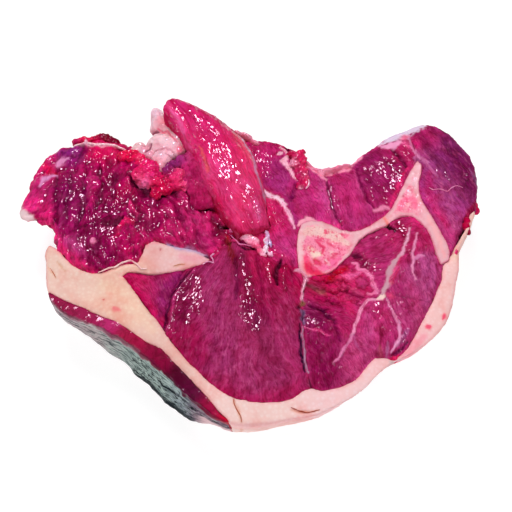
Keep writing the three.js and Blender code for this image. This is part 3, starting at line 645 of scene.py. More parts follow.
def surfaceOf(node, voxel, rounding):
    # the node as a fine mesh, with its normals and swollen positions
    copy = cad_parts[node].data.copy()
    build = mergedSolid(node)
    build.to_mesh(copy)
    build.free()
    mesh = meshOf(copy, voxel, rounding)
    normals = normalsOf(mesh)
    return mesh, normals, positionsOf(mesh) + normals * swell * mm


def positionsOf(mesh):
    points = np.zeros(len(mesh.vertices) * 3, np.float32)
    mesh.vertices.foreach_get("co", points)
    return points.reshape(-1, 3).astype(float)


def normalsOf(mesh):
    mesh.update()
    normals = np.zeros(len(mesh.vertices) * 3, np.float32)
    mesh.vertex_normals.foreach_get("vector", normals)
    return normals.reshape(-1, 3).astype(float)


def setPositions(mesh, points):
    mesh.vertices.foreach_set("co", points.astype(np.float32).ravel())
    mesh.update()


def outlineTree(node):
    # the node's outline on the cut face, as a search tree over plan millimetres
    build = mergedSolid(node)
    spots = []
    for edge in build.edges:
        if len(edge.link_faces) != 2:
            continue
        tilts = sorted(face.normal.z for face in edge.link_faces)
        ends = [v.co for v in edge.verts]
        if tilts[0] < 0.5 < tilts[1] and min(v.z for v in ends) > cutFace["lowest"] * mm:
            count = max(2, int((ends[1] - ends[0]).length / mm))
            spots += [ends[0].lerp(ends[1], i / count) for i in range(count)]
    build.free()
    flat = planOf(np.array([list(s) for s in spots]))
    tree = KDTree(len(flat))
    for i, (x, y) in enumerate(flat):
        tree.insert((x, y, 0), i)
    tree.balance()
    return tree


def distanceIn(tree, flat):
    return np.array([tree.find((x, y, 0))[2] for x, y in flat])


def alongAcross(flat, bearing):
    # plan points measured along a bearing in degrees, and across it
    turn = math.radians(bearing)
    return flat @ (math.cos(turn), math.sin(turn)), flat @ (-math.sin(turn), math.cos(turn))


def fibreCoordinates(flat, heights, guides):
    # along and across the fibres in millimetres: each point takes the nearest guide, straight or fanned
    spots = np.array([guide["at"] for guide in guides], float)
    nearest = np.argmin(np.linalg.norm(flat[:, None] - spots[None], axis=2), axis=1)
    along, across = np.zeros(len(flat)), np.zeros(len(flat))
    for i, guide in enumerate(guides):
        chosen = nearest == i
        if "fan" in guide:
            arm = flat[chosen] - np.array(guide["fan"], float)
            along[chosen] = np.linalg.norm(arm, axis=1)
            across[chosen] = np.arctan2(arm[:, 1], arm[:, 0]) * guide["radius"]
        else:
            along[chosen], aside = alongAcross(flat[chosen], guide["bearing"])
            across[chosen] = aside + 200 * i
    bend = np.column_stack([along, across, heights]) / 18
    across = across + 2.6 * warpNoise(bend) + 0.9 * warpNoise(bend * 3.1)
    return np.column_stack([along, across, heights])


def basePaint(flat, patches):
    # the patches' tones flowing into each other: [x, y, reach, tone]
    spots = np.array([patch[:2] for patch in patches], float)
    reach = np.array([patch[2] for patch in patches], float)
    bent = wandering(flat, 3.0, 14.0)
    pull = bell(np.linalg.norm(bent[:, None] - spots[None], axis=2) / reach) + 1e-7
    pull /= pull.sum(axis=1)[:, None]
    return pull @ np.array([toneOf(patch[3]) for patch in patches])


def asRows(paint):
    return np.column_stack([paint, np.ones(len(paint))])


def underLight(paint, gain):
    # tones are given as they look on the stage; this takes the light's strength and veil back out
    return np.clip((paint - 0.004) / gain, 0.0008, 0.97)


def finishPiece(name, mesh, material, nodes, slot, **attributes):
    # puts the mesh into the scene as a named piece that stands for its frame nodes
    piece = bpy.data.objects.new(name, mesh)
    bpy.context.scene.collection.objects.link(piece)
    mesh.materials.clear()
    mesh.materials.append(material)
    mesh.polygons.foreach_set("use_smooth", [True] * len(mesh.polygons))
    for key, values in attributes.items():
        kind, field, rows = "FLOAT_COLOR", "color", asRows(values)
        if key == "grain":
            kind, field, rows = "FLOAT_VECTOR", "vector", values
        layer = mesh.attributes.new(key, kind, "POINT")
        layer.data.foreach_set(field, rows.astype(np.float32).ravel())
    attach(piece, "root")
    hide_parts(*nodes)
    print(name, len(mesh.polygons), "faces")
    return piece


slack = {"side": 2.0 * mm, "top": 0.6 * mm}  # how far a piece may pass the frame's box


def keepInside(points):
    # nothing goes below the floor or far out of the frame's box
    low = np.array([cadLow.x - slack["side"], cadLow.y - slack["side"], 0.0])
    high = np.array([cadHigh.x + slack["side"], cadHigh.y + slack["side"], cadHigh.z + slack["top"]])
    return np.clip(points, low, high)


def newGroup(name, inputs, outputs):
    group = bpy.data.node_groups.new(name, "ShaderNodeTree")
    for title, kind, value in inputs:
        socket = group.interface.new_socket(title, in_out="INPUT", socket_type="NodeSocket" + kind)
        if value is not None:
            socket.default_value = value
    for title, kind in outputs:
        group.interface.new_socket(title, in_out="OUTPUT", socket_type="NodeSocket" + kind)
    return group, group.nodes.new("NodeGroupInput").outputs, group.nodes.new("NodeGroupOutput").inputs


def addNode(tree, kind, links=None, **settings):
    # a node with its settings, and its sockets given values or linked to other sockets
    node = tree.nodes.new(kind)
    for key, value in settings.items():
        setattr(node, key, value)
    for key, value in (links or {}).items():
        feed(tree, node.inputs[key], value)
    return node


def feed(tree, socket, value):
    if isinstance(value, bpy.types.NodeSocket):
        tree.links.new(value, socket)
    elif isinstance(value, tuple) and len(value) == 3 and socket.type == "RGBA":
        socket.default_value = (*value, 1)
    else:
        socket.default_value = value


def calc(tree, operation, first, second, clamp=False):
    node = addNode(tree, "ShaderNodeMath", {0: first, 1: second}, operation=operation, use_clamp=clamp)
    return node.outputs[0]


def blend(tree, share, first, second, mode="MIX"):
    node = addNode(tree, "ShaderNodeMix", None, data_type="RGBA", blend_type=mode)
    for index, value in ((0, share), (6, first), (7, second)):
        feed(tree, node.inputs[index], value)
    return node.outputs[2]


def ramp(tree, value, low, high, toLow=0.0, toHigh=1.0):
    links = {0: value, 1: low, 2: high, 3: toLow, 4: toHigh}
    return addNode(tree, "ShaderNodeMapRange", links, interpolation_type="SMOOTHSTEP").outputs[0]


def noiseOf(tree, place, scale, detail=2.0, roughness=0.5, distortion=0.0):
    links = {"Vector": place, "Scale": scale, "Detail": detail, "Roughness": roughness,
             "Distortion": distortion}
    return addNode(tree, "ShaderNodeTexNoise", links).outputs[0]


def stretched(tree, place, along, across):
    scale = addNode(tree, "ShaderNodeCombineXYZ", {0: along, 1: across, 2: along})
    links = {0: place, 1: scale.outputs[0]}
    return addNode(tree, "ShaderNodeVectorMath", links, operation="MULTIPLY").outputs[0]


def buildFibreGroup():
    # streaks that follow the fibres: light and dark masks and a height for bump
    group, given, made = newGroup(
        "fibreStreaks",
        [("Grain", "Vector", None), ("Across", "Float", 420.0), ("Along", "Float", 60.0)],
        [("Light", "Float"), ("Dark", "Float"), ("Height", "Float")],
    )
    place = stretched(group, given["Grain"], given["Along"], given["Across"])
    coarse = noiseOf(group, place, 1.0, 4.0, 0.7, 0.3)
    fine = noiseOf(group, place, 1.9, 3.0, 0.7, 0.2)
    group.links.new(ramp(group, coarse, 0.46, 0.66), made["Light"])
    group.links.new(ramp(group, fine, 0.54, 0.36), made["Dark"])
    height = calc(group, "ADD", calc(group, "MULTIPLY", coarse, 0.6), calc(group, "MULTIPLY", fine, 0.4))
    group.links.new(height, made["Height"])
    return group


def buildWetGroup():
    # the film of juice: short ripples along the grain that shine on their crests, pooled in patches
    group, given, made = newGroup(
        "wetFilm",
        [("Grain", "Vector", None), ("Place", "Vector", None), ("Wet", "Float", 0.5),
         ("Across", "Float", 500.0), ("Along", "Float", 220.0), ("Rough", "Float", 0.5),
         ("Gloss", "Float", 1.0), ("Pool", "Float", 130.0)],
        [("Height", "Float"), ("Roughness", "Float"), ("Coat", "Float")],
    )
    runs = stretched(group, given["Grain"], given["Along"], given["Across"])
    ripples = noiseOf(group, runs, 1.0, 2.0, 0.55)
    pools = ramp(group, noiseOf(group, given["Place"], given["Pool"], 2.0, 0.6), 0.36, 0.58, 0.45, 1.0)
    wet = calc(group, "MULTIPLY", given["Wet"], pools)
    crests = ramp(group, calc(group, "MULTIPLY", wet, ramp(group, ripples, 0.49, 0.6, 0.1, 1.0)), 0.2, 0.45)
    group.links.new(calc(group, "MULTIPLY", ripples, calc(group, "ADD", given["Wet"], 0.2)), made["Height"])
    smoother = calc(group, "MULTIPLY", wet, 0.2)
    group.links.new(calc(group, "SUBTRACT", given["Rough"], smoother), made["Roughness"])
    group.links.new(calc(group, "MULTIPLY", crests, given["Gloss"], True), made["Coat"])
    return group


fibreGroup, wetGroup = buildFibreGroup(), buildWetGroup()


def placeGroup(tree, group, links):
    node = tree.nodes.new("ShaderNodeGroup")
    node.node_tree = group
    for key, value in links.items():
        feed(tree, node.inputs[key], value)
    return node.outputs


def newMaterial(name):
    material = bpy.data.materials.new(name)
    material.use_nodes = True
    return material, material.node_tree, material.node_tree.nodes["Principled BSDF"]


def attributeOf(tree, name, output):
    node = addNode(tree, "ShaderNodeAttribute", None, attribute_name=name, attribute_type="GEOMETRY")
    return node.outputs[output]


def setSockets(shader, **values):
    for key, value in values.items():
        shader.inputs[key.replace("_", " ")].default_value = value


def dress(tree, shader, colour, film, height, strength, depth, wetDepth):
    # what every wet material shares: its colour, the film's gloss, and the film's ripples over its own bump
    tree.links.new(colour, shader.inputs["Base Color"])
    tree.links.new(film["Roughness"], shader.inputs["Roughness"])
    tree.links.new(film["Coat"], shader.inputs["Coat Weight"])
    bump = addNode(tree, "ShaderNodeBump", {"Height": height, "Strength": strength, "Distance": depth})
    links = {"Height": film["Height"], "Normal": bump.outputs[0], "Strength": 1.0, "Distance": wetDepth}
    tree.links.new(addNode(tree, "ShaderNodeBump", links).outputs[0], shader.inputs["Normal"])


def meatMaterial(name, look):
    material, tree, shader = newMaterial(name)
    paint, grain = attributeOf(tree, "paint", "Color"), attributeOf(tree, "grain", "Vector")
    finish = addNode(tree, "ShaderNodeSeparateColor", {0: attributeOf(tree, "finish", "Color")}).outputs
    place = addNode(tree, "ShaderNodeTexCoord").outputs["Object"]
    fibres = placeGroup(tree, fibreGroup, {"Grain": grain, "Across": look["across"], "Along": look["along"]})
    film = placeGroup(tree, wetGroup, {"Grain": grain, "Place": place, "Wet": finish[1],
                                       "Across": look["rippleAcross"], "Along": look["rippleAlong"],
                                       "Rough": look["rough"], "Gloss": look["gloss"], "Pool": look["pool"]})
    lean = calc(tree, "SUBTRACT", 1.0, finish[0], True)
    # the lilac streaks are the fibres' own, brightened where the sheen haze lies into a painted sheen
    streakSheen = calc(tree, "ADD", look["streak"], calc(tree, "MULTIPLY", finish[2], look["streakSheen"]))
    light = calc(tree, "MULTIPLY", calc(tree, "MULTIPLY", fibres["Light"], streakSheen), lean)
    dark = calc(tree, "MULTIPLY", calc(tree, "MULTIPLY", fibres["Dark"], look["shade"]), lean)
    colour = blend(tree, light, paint, rgb(look["lightTone"]))
    colour = blend(tree, dark, colour, rgb(look["darkTint"]), "MULTIPLY")
    mottle = ramp(tree, noiseOf(tree, place, look["mottle"], 4.0, 0.65), 0.38, 0.66)
    mottled = calc(tree, "MULTIPLY", calc(tree, "MULTIPLY", mottle, look["mottled"]), lean)
    colour = blend(tree, mottled, colour, rgb(look["mottleTint"]), "MULTIPLY")
    dress(tree, shader, colour, film, fibres["Height"], 1.0, look["fibreBump"], look["wetBump"])
    setSockets(shader, IOR=1.38, Specular_IOR_Level=0.03, Subsurface_Weight=look["soft"],
               Subsurface_Scale=0.0014, Subsurface_Radius=(1.0, 0.15, 0.25), Coat_Roughness=0.075,
               Coat_IOR=look["coatIOR"])
    return material


# distances of the bumps are in metres, the scales of the patterns in counts per metre
meatLooks = {
    "lean": {
        "across": 600.0, "along": 140.0, "rippleAcross": 1250.0, "rippleAlong": 440.0, "pool": 300.0,
        "rough": 0.6, "gloss": 0.9, "streak": 0.2, "streakSheen": 0.4, "shade": 0.6, "lightTone": "dc649c",
        "darkTint": "b05c8c", "mottle": 150.0, "mottled": 0.65, "mottleTint": "cc7098", "fibreBump": 0.00012,
        "wetBump": 0.0008, "soft": 0.04, "coatIOR": 2.0,
    },
    "neck": {
        "across": 330.0, "along": 150.0, "rippleAcross": 1150.0, "rippleAlong": 620.0, "pool": 240.0,
        "rough": 0.5, "gloss": 0.9, "streak": 0.2, "streakSheen": 0.5, "shade": 0.55, "lightTone": "d06094",
        "darkTint": "b05084", "mottle": 150.0, "mottled": 0.5, "mottleTint": "bc5c90", "fibreBump": 0.0002,
        "wetBump": 0.0008, "soft": 0.04, "coatIOR": 2.1,
    },
    "torn": {
        "across": 300.0, "along": 240.0, "rippleAcross": 1050.0, "rippleAlong": 750.0, "pool": 220.0,
        "rough": 0.45, "gloss": 0.9, "streak": 0.14, "streakSheen": 0.3, "shade": 0.45, "lightTone": "f080a8",
        "darkTint": "c05c90", "mottle": 200.0, "mottled": 0.5, "mottleTint": "c8588c", "fibreBump": 0.0002,
        "wetBump": 0.0007, "soft": 0.08, "coatIOR": 2.0,
    },
    "lifted": {
        "across": 330.0, "along": 50.0, "rippleAcross": 1050.0, "rippleAlong": 210.0, "pool": 420.0,
        "rough": 0.5, "gloss": 0.8, "streak": 0.3, "streakSheen": 0.36, "shade": 0.6, "lightTone": "ec6098",
        "darkTint": "d87098", "mottle": 90.0, "mottled": 0.45, "mottleTint": "e07098", "fibreBump": 0.00014,
        "wetBump": 0.0009, "soft": 0.08, "coatIOR": 2.2,
    },
}
meatMaterials = {key: meatMaterial(key + "Meat", look) for key, look in meatLooks.items()}


def softMaterial(name, look):
    # fat, sinew and membrane: a painted colour, clouded with pink, over a fine grain
    material, tree, shader = newMaterial(name)
    place = addNode(tree, "ShaderNodeTexCoord").outputs["Object"]
    film = placeGroup(tree, wetGroup, {"Grain": place, "Place": place, "Wet": look["wet"], "Across": 320.0,
                                       "Along": 320.0, "Rough": look["rough"], "Gloss": look["gloss"]})
    cloud = ramp(tree, noiseOf(tree, place, look["cloud"], 4.0, 0.6), 0.46, 0.7, 0.0, look["pinked"])
    colour = blend(tree, cloud, attributeOf(tree, "paint", "Color"), rgb(look["pinkTone"]), "MULTIPLY")
    grains = addNode(tree, "ShaderNodeTexVoronoi", {"Vector": place, "Scale": 420.0}).outputs["Distance"]
    grained = ramp(tree, grains, 0.0, 0.7, 0.0, look["grained"])
    colour = blend(tree, grained, colour, rgb("f4d4cc"), "MULTIPLY")
    dress(tree, shader, colour, film, grains, 0.15, 0.0004, look["wetBump"])
    setSockets(shader, IOR=1.42, Specular_IOR_Level=0.15, Subsurface_Weight=look["soft"],
               Subsurface_Scale=0.003, Subsurface_Radius=(1.0, 0.5, 0.4), Coat_Roughness=0.1, Coat_IOR=1.9)
    return material


softLooks = {
    "coverFat": {
        "wet": 0.15, "rough": 0.6, "gloss": 0.7, "cloud": 50.0, "pinked": 0.6, "pinkTone": "f8c8c4",
        "grained": 0.35, "wetBump": 0.0003, "soft": 0.12,
    },
    "lumpFat": {
        "wet": 0.6, "rough": 0.45, "gloss": 1.0, "cloud": 90.0, "pinked": 0.35, "pinkTone": "f8b4c4",
        "grained": 0.12, "wetBump": 0.0009, "soft": 0.2,
    },
    "sinewSheet": {
        "wet": 0.6, "rough": 0.4, "gloss": 1.0, "cloud": 260.0, "pinked": 0.8, "pinkTone": "ee98bc",
        "grained": 0.1, "wetBump": 0.0005, "soft": 0.1,
    },
}
coverFat, lumpFat, sinewSheet = [softMaterial(name, look) for name, look in softLooks.items()]

# cells, clots and cloud are the scales of the marrow's pores, its blood clots and the bone's mottling
boneLook = {
    "cells": 620.0, "clots": 190.0, "cloud": 140.0, "clotTone": "ec3870", "poreTone": "c84a6c",
    "cloudTone": "f4bcc0", "wet": 0.6, "ripples": 400.0, "rough": 0.55, "gloss": 0.35, "soft": 0.08,
    "poreDepth": 0.0006, "wetBump": 0.0003,
}


def boneMaterial():
    # sawn bone: porous, blotted marrow where the third finish value is high, hard pale bone elsewhere
    look = boneLook
    material, tree, shader = newMaterial("sawnBone")
    marrow = addNode(tree, "ShaderNodeSeparateColor", {0: attributeOf(tree, "finish", "Color")}).outputs[2]
    place = addNode(tree, "ShaderNodeTexCoord").outputs["Object"]
    links = {"Vector": place, "Scale": look["cells"]}
    cells = addNode(tree, "ShaderNodeTexVoronoi", links).outputs["Distance"]
    clots = ramp(tree, noiseOf(tree, place, look["clots"], 4.0, 0.7), 0.5, 0.62, 0.0, 0.85)
    clots = calc(tree, "MULTIPLY", marrow, clots)
    colour = blend(tree, clots, attributeOf(tree, "paint", "Color"), rgb(look["clotTone"]))
    pores = calc(tree, "MULTIPLY", marrow, ramp(tree, cells, 0.32, 0.12, 0.0, 0.45))
    colour = blend(tree, pores, colour, rgb(look["poreTone"]))
    cloud = ramp(tree, noiseOf(tree, place, look["cloud"], 3.0, 0.6), 0.45, 0.7, 0.0, 0.5)
    colour = blend(tree, cloud, colour, rgb(look["cloudTone"]), "MULTIPLY")
    film = placeGroup(tree, wetGroup, {"Grain": place, "Place": place, "Wet": look["wet"],
                                       "Across": look["ripples"], "Along": look["ripples"],
                                       "Rough": look["rough"], "Gloss": look["gloss"]})
    holes = calc(tree, "MULTIPLY", marrow, cells)
    dress(tree, shader, colour, film, holes, 0.5, look["poreDepth"], look["wetBump"])
    setSockets(shader, IOR=1.45, Specular_IOR_Level=0.15, Subsurface_Weight=look["soft"],
               Subsurface_Scale=0.002, Subsurface_Radius=(1.0, 0.35, 0.3), Coat_Roughness=0.12)
    return material


sawnBone = boneMaterial()
print("materials")

# the muscles: patches are [x, y, reach, tone]; guides give the way of the fibres, by a bearing or fanned out
# from a point; crown is how deep the edges fall away; lumps are [size, depth], and creased ones have sharp
# valleys; rim is [tone, width, strength] of the outline; pulls move what is near [x, y, z] by [dx, dy, dz];
# gain is how strongly the stage lights the piece
muscles = {
    "neckMuscle": {
        "node": "neck_muscle", "slot": "neck_meat", "look": "neck", "voxel": 0.85, "crown": 2.0, "wet": 0.5,
        "gain": 0.63, "hollows": 0.72, "calm": [-148, 54, 14], "lumps": [[9.0, 1.3], [4.5, 0.5]],
        "creased": [[7.0, 2.0], [3.4, 0.5]], "fibre": 0.4, "rim": ["c8205e", 2.4, 0.6],
        "patches": [
            [-126, 55, 14, "7c1050"], [-110, 60, 13, "90104e"], [-98, 76, 12, "98104c"],
            [-103, 90, 9, "b4104e"], [-127, 89, 6, "801c62"], [-149, 54, 14, "b02264"],
            [-143, 73, 8, "a41854"], [-108, 22, 13, "820c48"], [-95, 32, 12, "860c4a"],
            [-125, 12, 8, "b02468"], [-83, 22, 9, "a81454"], [-62, 36, 14, "9c1450"], [-40, 32, 12, "ac1e58"],
            [-70, 56, 8, "5c0836"], [-44, 66, 12, "a01854"], [-80, 45, 10, "900c48"], [-90, 58, 8, "a00c48"],
            [-115, 75, 8, "a01454"],
        ],
        "pulls": [[-142, 28, 28, 5.0, 1.5, 0, 13], [-139, 25, 50, 3.6, 0.5, 0, 8],
                  [-144, 35, 48, 0.5, 2.4, 0, 8], [-154, 39, 48, 0, 2.0, 0, 7],
                  [-158, 47, 46, -2.4, 0.6, 0, 7], [-138, 86, 45, -1.2, 1.6, 0, 16]],
        "guides": [
            {"at": [-115, 50], "bearing": 82}, {"at": [-147, 58], "bearing": 62},
            {"at": [-58, 40], "bearing": 118}, {"at": [-100, 15], "bearing": 95},
        ],
    },
    "greatMuscle": {
        "node": "great_muscle", "slot": "meat", "look": "lean", "voxel": 0.8, "crown": 1.2, "wet": 0.12,
        "gain": 0.90, "bands": 0.3, "lumps": [[13.0, 0.6], [5.0, 0.35]], "creased": [[3.2, 0.35]],
        "fibre": 0.2, "rim": ["c41c60", 1.8, 0.5],
        "patches": [
            [-50, -20, 14, "8e184c"], [-28, -20, 12, "a83068"], [-8, -50, 14, "a03062"],
            [10, -20, 12, "a81e54"], [-10, -85, 14, "aa2c62"], [-46, -58, 12, "a41c54"],
            [22, -60, 12, "a82c64"], [-18, 6, 8, "a82c64"], [2, 2, 8, "b81c54"], [24, -6, 7, "b81450"],
            [20, -30, 8, "b02058"], [-28, -62, 10, "a02c64"],
        ],
        "guides": [{"at": [-10, -40], "fan": [-10, 34], "radius": 70}],
    },
    "cornerMuscle": {
        "node": "corner_muscle", "slot": "meat", "look": "lean", "voxel": 0.8, "crown": 1.7, "wet": 0.15,
        "gain": 0.80, "lumps": [[9.0, 0.4], [4.0, 0.2]], "fibre": 0.35,
        "rim": ["70083c", 1.2, 0.7],
        "patches": [
            [-72, -8, 9, "b82058"], [-62, -12, 9, "a02460"], [-84, -5, 8, "c01858"], [-60, -36, 9, "b81c58"],
        ],
        "guides": [{"at": [-70, -15], "bearing": -58}],
    },
    "backMuscle": {
        "node": "back_muscle", "slot": "meat", "look": "lean", "voxel": 0.85, "crown": 1.1, "wet": 0.22,
        "gain": 0.69, "lumps": [[10.0, 0.6], [4.0, 0.35]], "creased": [[3.2, 0.4]], "fibre": 0.3,
        "rim": ["c83474", 1.2, 0.5],
        "patches": [
            [6, 90, 10, "b82468"], [14, 76, 9, "a42c74"], [8, 46, 9, "c42460"], [20, 44, 9, "b02864"],
            [34, 72, 9, "bc3074"], [42, 54, 9, "bc3078"], [60, 62, 10, "ac2c68"], [72, 50, 8, "a02864"],
            [85, 74, 10, "90205c"], [104, 90, 8, "a42058"], [94, 60, 8, "a42058"], [28, 30, 7, "b03070"],
        ],
        "pulls": [[82, 98, 44, -0.5, 2.2, 0, 12], [94, 107, 44, -0.5, 1.4, 0, 8],
                  [75, 91, 44, -1.0, 2.2, 0, 8]],
        "guides": [
            {"at": [12, 40], "bearing": -62}, {"at": [8, 82], "bearing": -60},
            {"at": [28, 86], "bearing": -80}, {"at": [40, 58], "bearing": -66},
            {"at": [62, 58], "bearing": -74}, {"at": [84, 74], "bearing": -52},
            {"at": [103, 88], "bearing": -40},
        ],
    },
    "endMuscle": {
        "node": "end_muscle", "slot": "meat", "look": "lean", "voxel": 0.8, "crown": 1.5, "wet": 0.2,
        "gain": 0.76, "bands": 0.5, "lumps": [[10.0, 0.4], [4.0, 0.3]], "creased": [[3.2, 0.3]], "fibre": 0.3,
        "rim": ["9c2868", 1.6, 0.4],
        "patches": [
            [130, 84, 14, "7c2864"], [118, 66, 10, "a03478"], [140, 50, 10, "983474"],
            [128, 30, 10, "aa3870"], [146, 70, 9, "741a4c"], [118, 98, 9, "a0205c"], [130, 60, 9, "a03c78"],
        ],
        "guides": [{"at": [130, 65], "bearing": -60}],
        "pulls": [[150, 84, 40, 1.6, 0.6, 0, 26], [128, 112, 40, 0.4, 1.6, 0, 20]],
    },
    "shankMuscle": {
        "node": "shank_muscle", "slot": "meat", "look": "lean", "voxel": 0.8, "crown": 1.3, "wet": 0.25,
        "gain": 0.76, "lumps": [[8.0, 0.6], [4.0, 0.5]], "creased": [[3.4, 0.6]], "fibre": 0.3,
        "rim": ["bc3070", 1.4, 0.5],
        "patches": [
            [80, 12, 11, "b02c66"], [48, -12, 9, "b82058"], [62, -10, 8, "bc2460"], [42, -60, 11, "8c1850"],
            [66, -62, 10, "b43c72"], [104, -22, 11, "b44078"], [113, -4, 8, "b04880"], [88, -56, 9, "ac2c68"],
            [72, -36, 8, "b83470"], [100, 24, 8, "b02860"], [90, -14, 8, "a82c68"], [60, -38, 8, "b02460"],
            [36, -36, 8, "80184c"], [52, -30, 7, "981850"],
        ],
        "guides": [
            {"at": [82, 12], "bearing": 24}, {"at": [112, -6], "bearing": -76},
            {"at": [104, -40], "bearing": -80}, {"at": [52, -18], "bearing": -25},
            {"at": [42, -60], "bearing": -75}, {"at": [66, -70], "bearing": -64},
            {"at": [84, -48], "bearing": -80},
        ],
    },
    "liftedMuscle": {
        "node": "lifted_muscle", "slot": "lifted_meat", "look": "lifted", "voxel": 0.75, "crown": 0.0,
        "wet": 0.55, "gain": 0.84, "lumps": [[10.0, 0.6], [3.6, 0.25]], "fibre": 0.45,
        "rim": None, "marks": liftedMarks,
        "patches": [
            [-48, 112, 11, "d42470"], [-36, 92, 12, "dc2874"], [-20, 92, 11, "d42664"],
            [-22, 60, 12, "e03c80"], [-6, 70, 10, "e43470"], [-8, 40, 11, "de3c7c"], [-26, 42, 8, "cc2464"],
            [2, 30, 8, "c83068"],
        ],
        "guides": [{"at": [-20, 75], "bearing": 118}], "pulls": [[-58, 121, 68, -3.4, 1.6, 0, 8]],
    },
}
# lines on the meat beside these nodes: node, tone, width; the dark line beside the corner muscle is a
# painted shadow where the great muscle's edge overhangs it
borders = [["shoulder_blade", "b4205c", 0.8], ["corner_muscle", "48042c", 0.9]]
# what the muscles share: drift makes the wetness uneven; crownReach is how far in a muscle's edge falls away,
# and boneHold keeps it up within boneReach of the blade; fade is how far below the cut face its marks reach,
# raggedly; fibres and bands are sizes along the fibres, across them and down
cutLook = {
    "drift": 0.35, "driftSize": 9, "crownReach": 2.2, "boneReach": 3, "boneHold": 0.7, "borderShare": 0.8,
    "fade": [-13, -2], "ragged": 5, "raggedSize": 8, "deepest": -20, "wallDry": 0.7, "bed": 6,
    "stretch": [0.42, 1.0, 0.8], "fibres": [24, 2.2, 14], "bands": [38, 3.4, 20], "hollowDepth": 1.6,
    "crestHeight": 2.0, "crestLight": 0.25, "fatGain": 0.92,
}


def shapeCutFace(points, normals, relief, height):
    # the upper face follows the smoothed cut face and its relief; the lower face takes a little of the relief
    upper = smoothStep(0.3, 0.8, normals[:, 2]) * smoothStep(-9 * mm, -4 * mm, points[:, 2] - height)
    near = smoothStep(-7 * mm, -0.5 * mm, points[:, 2] - height)
    points = points.copy()
    points[:, 2] += upper * (height - points[:, 2]) + near * relief * mm
    lower = smoothStep(0.3, 0.9, -normals[:, 2])
    points[:, 2] += lower * np.clip(-relief * 0.5, 0, 2) * mm
    return points


def muscle(name, settings):
    mesh, normals, points = surfaceOf(settings["node"], settings["voxel"], 5)
    flat = planOf(points)
    grain = fibreCoordinates(flat, points[:, 2] / mm, settings["guides"])
    paint = basePaint(flat, settings["patches"])
    finish = plainFinish(flat, settings["wet"])
    uneven = layered(broadNoise, points / mm + 50, cutLook["driftSize"], 2)
    finish[:, 1] += cutLook["drift"] * settings["wet"] * uneven
    lifted = "marks" in settings
    edge = distanceIn(outlineTree(settings["node"]), flat)
    if settings["rim"]:
        tone, width, strong = settings["rim"]
        tint(paint, tone, strong * bell(edge / width))
    fall = settings["crown"] * bell(edge / cutLook["crownReach"])
    for node, tone, width in borders:
        if node != settings["node"] and not lifted:
            beside = distanceIn(outlineTree(node), flat)
            tint(paint, tone, cutLook["borderShare"] * bell(beside / width))
            held = cutLook["boneHold"] * bell(beside / cutLook["boneReach"])
            fall *= 1 - held * (node == "shoulder_blade")
    # the cut's marks show on the upper and lower faces and fade raggedly down the walls
    below = points[:, 2] - faceHeight(points)
    ragged = cutLook["ragged"] * mm * layered(fineNoise, points / mm, cutLook["raggedSize"], 3)
    shown = None
    if not lifted:
        under = smoothStep(3 * mm, 1 * mm, points[:, 2])
        faint, full = cutLook["fade"]
        shown = np.maximum(smoothStep(faint * mm, full * mm, below + ragged), under)
    down = np.clip(below / mm, cutLook["deepest"], 0)
    relief = applyMarks(flat, paint, finish, settings.get("marks", cutMarks), shown, down)
    finish[:, 1] *= 1 - cutLook["wallDry"] * smoothStep(0.5, -0.1, normals[:, 2])
    for x, y, z, dx, dy, dz, reach in settings.get("pulls", []):
        share = bell(np.linalg.norm(points - frameOf([[x, y, z]]), axis=1) / mm / reach)
        points += np.outer(share, [dx, dy, dz]) * mm
    if lifted:
        upward = smoothStep(0.0, 0.7, normals[:, 2])
        points = points + normals * (relief * upward * mm)[:, None]
    else:
        relief -= fall
        points = shapeCutFace(points, normals, relief, faceHeight(points))
    setPositions(mesh, points)
    normals = normalsOf(mesh)

    # relief along the surface's own normals
    push = unevenness(settings, points / mm, grain * cutLook["stretch"])
    push += settings["fibre"] * 0.5 * fineNoise(grain * (1 / np.array(cutLook["fibres"])))
    if "calm" in settings:
        x, y, reach = settings["calm"]
        push *= 1 - 0.6 * bell(np.linalg.norm(flat - (x, y), axis=1) / reach)
    bed = smoothStep(0, cutLook["bed"] * mm, points[:, 2])
    setPositions(mesh, keepInside(points + normals * (push * bed * mm)[:, None]))
    lean = (1 - finish[:, 0])[:, None]
    # painted shade darkens the hollows of the relief and a painted highlight lightens its crests, on lean
    # meat only; hollowDepth and crestHeight are the depths where each is full
    hollow = np.clip(-push / cutLook["hollowDepth"], 0, 1)[:, None] * lean
    lightOnCrests = np.clip(push / cutLook["crestHeight"], 0, 1)[:, None] * lean
    paint += (toneOf("dark") - paint) * hollow * settings.get("hollows", 0.5)
    paint += paint * lightOnCrests * cutLook["crestLight"]
    bands = fineNoise(grain * (1 / np.array(cutLook["bands"])) + 7)[:, None]
    paint *= 1 + settings.get("bands", 0.22) * lean * bands
    gain = settings["gain"] + (cutLook["fatGain"] - settings["gain"]) * finish[:, :1]
    return finishPiece(name, mesh, meatMaterials[settings["look"]], [settings["node"]], settings["slot"],
                       paint=underLight(paint, gain), grain=grain * mm, finish=finish)


for name, settings in muscles.items():
    muscle(name, settings)


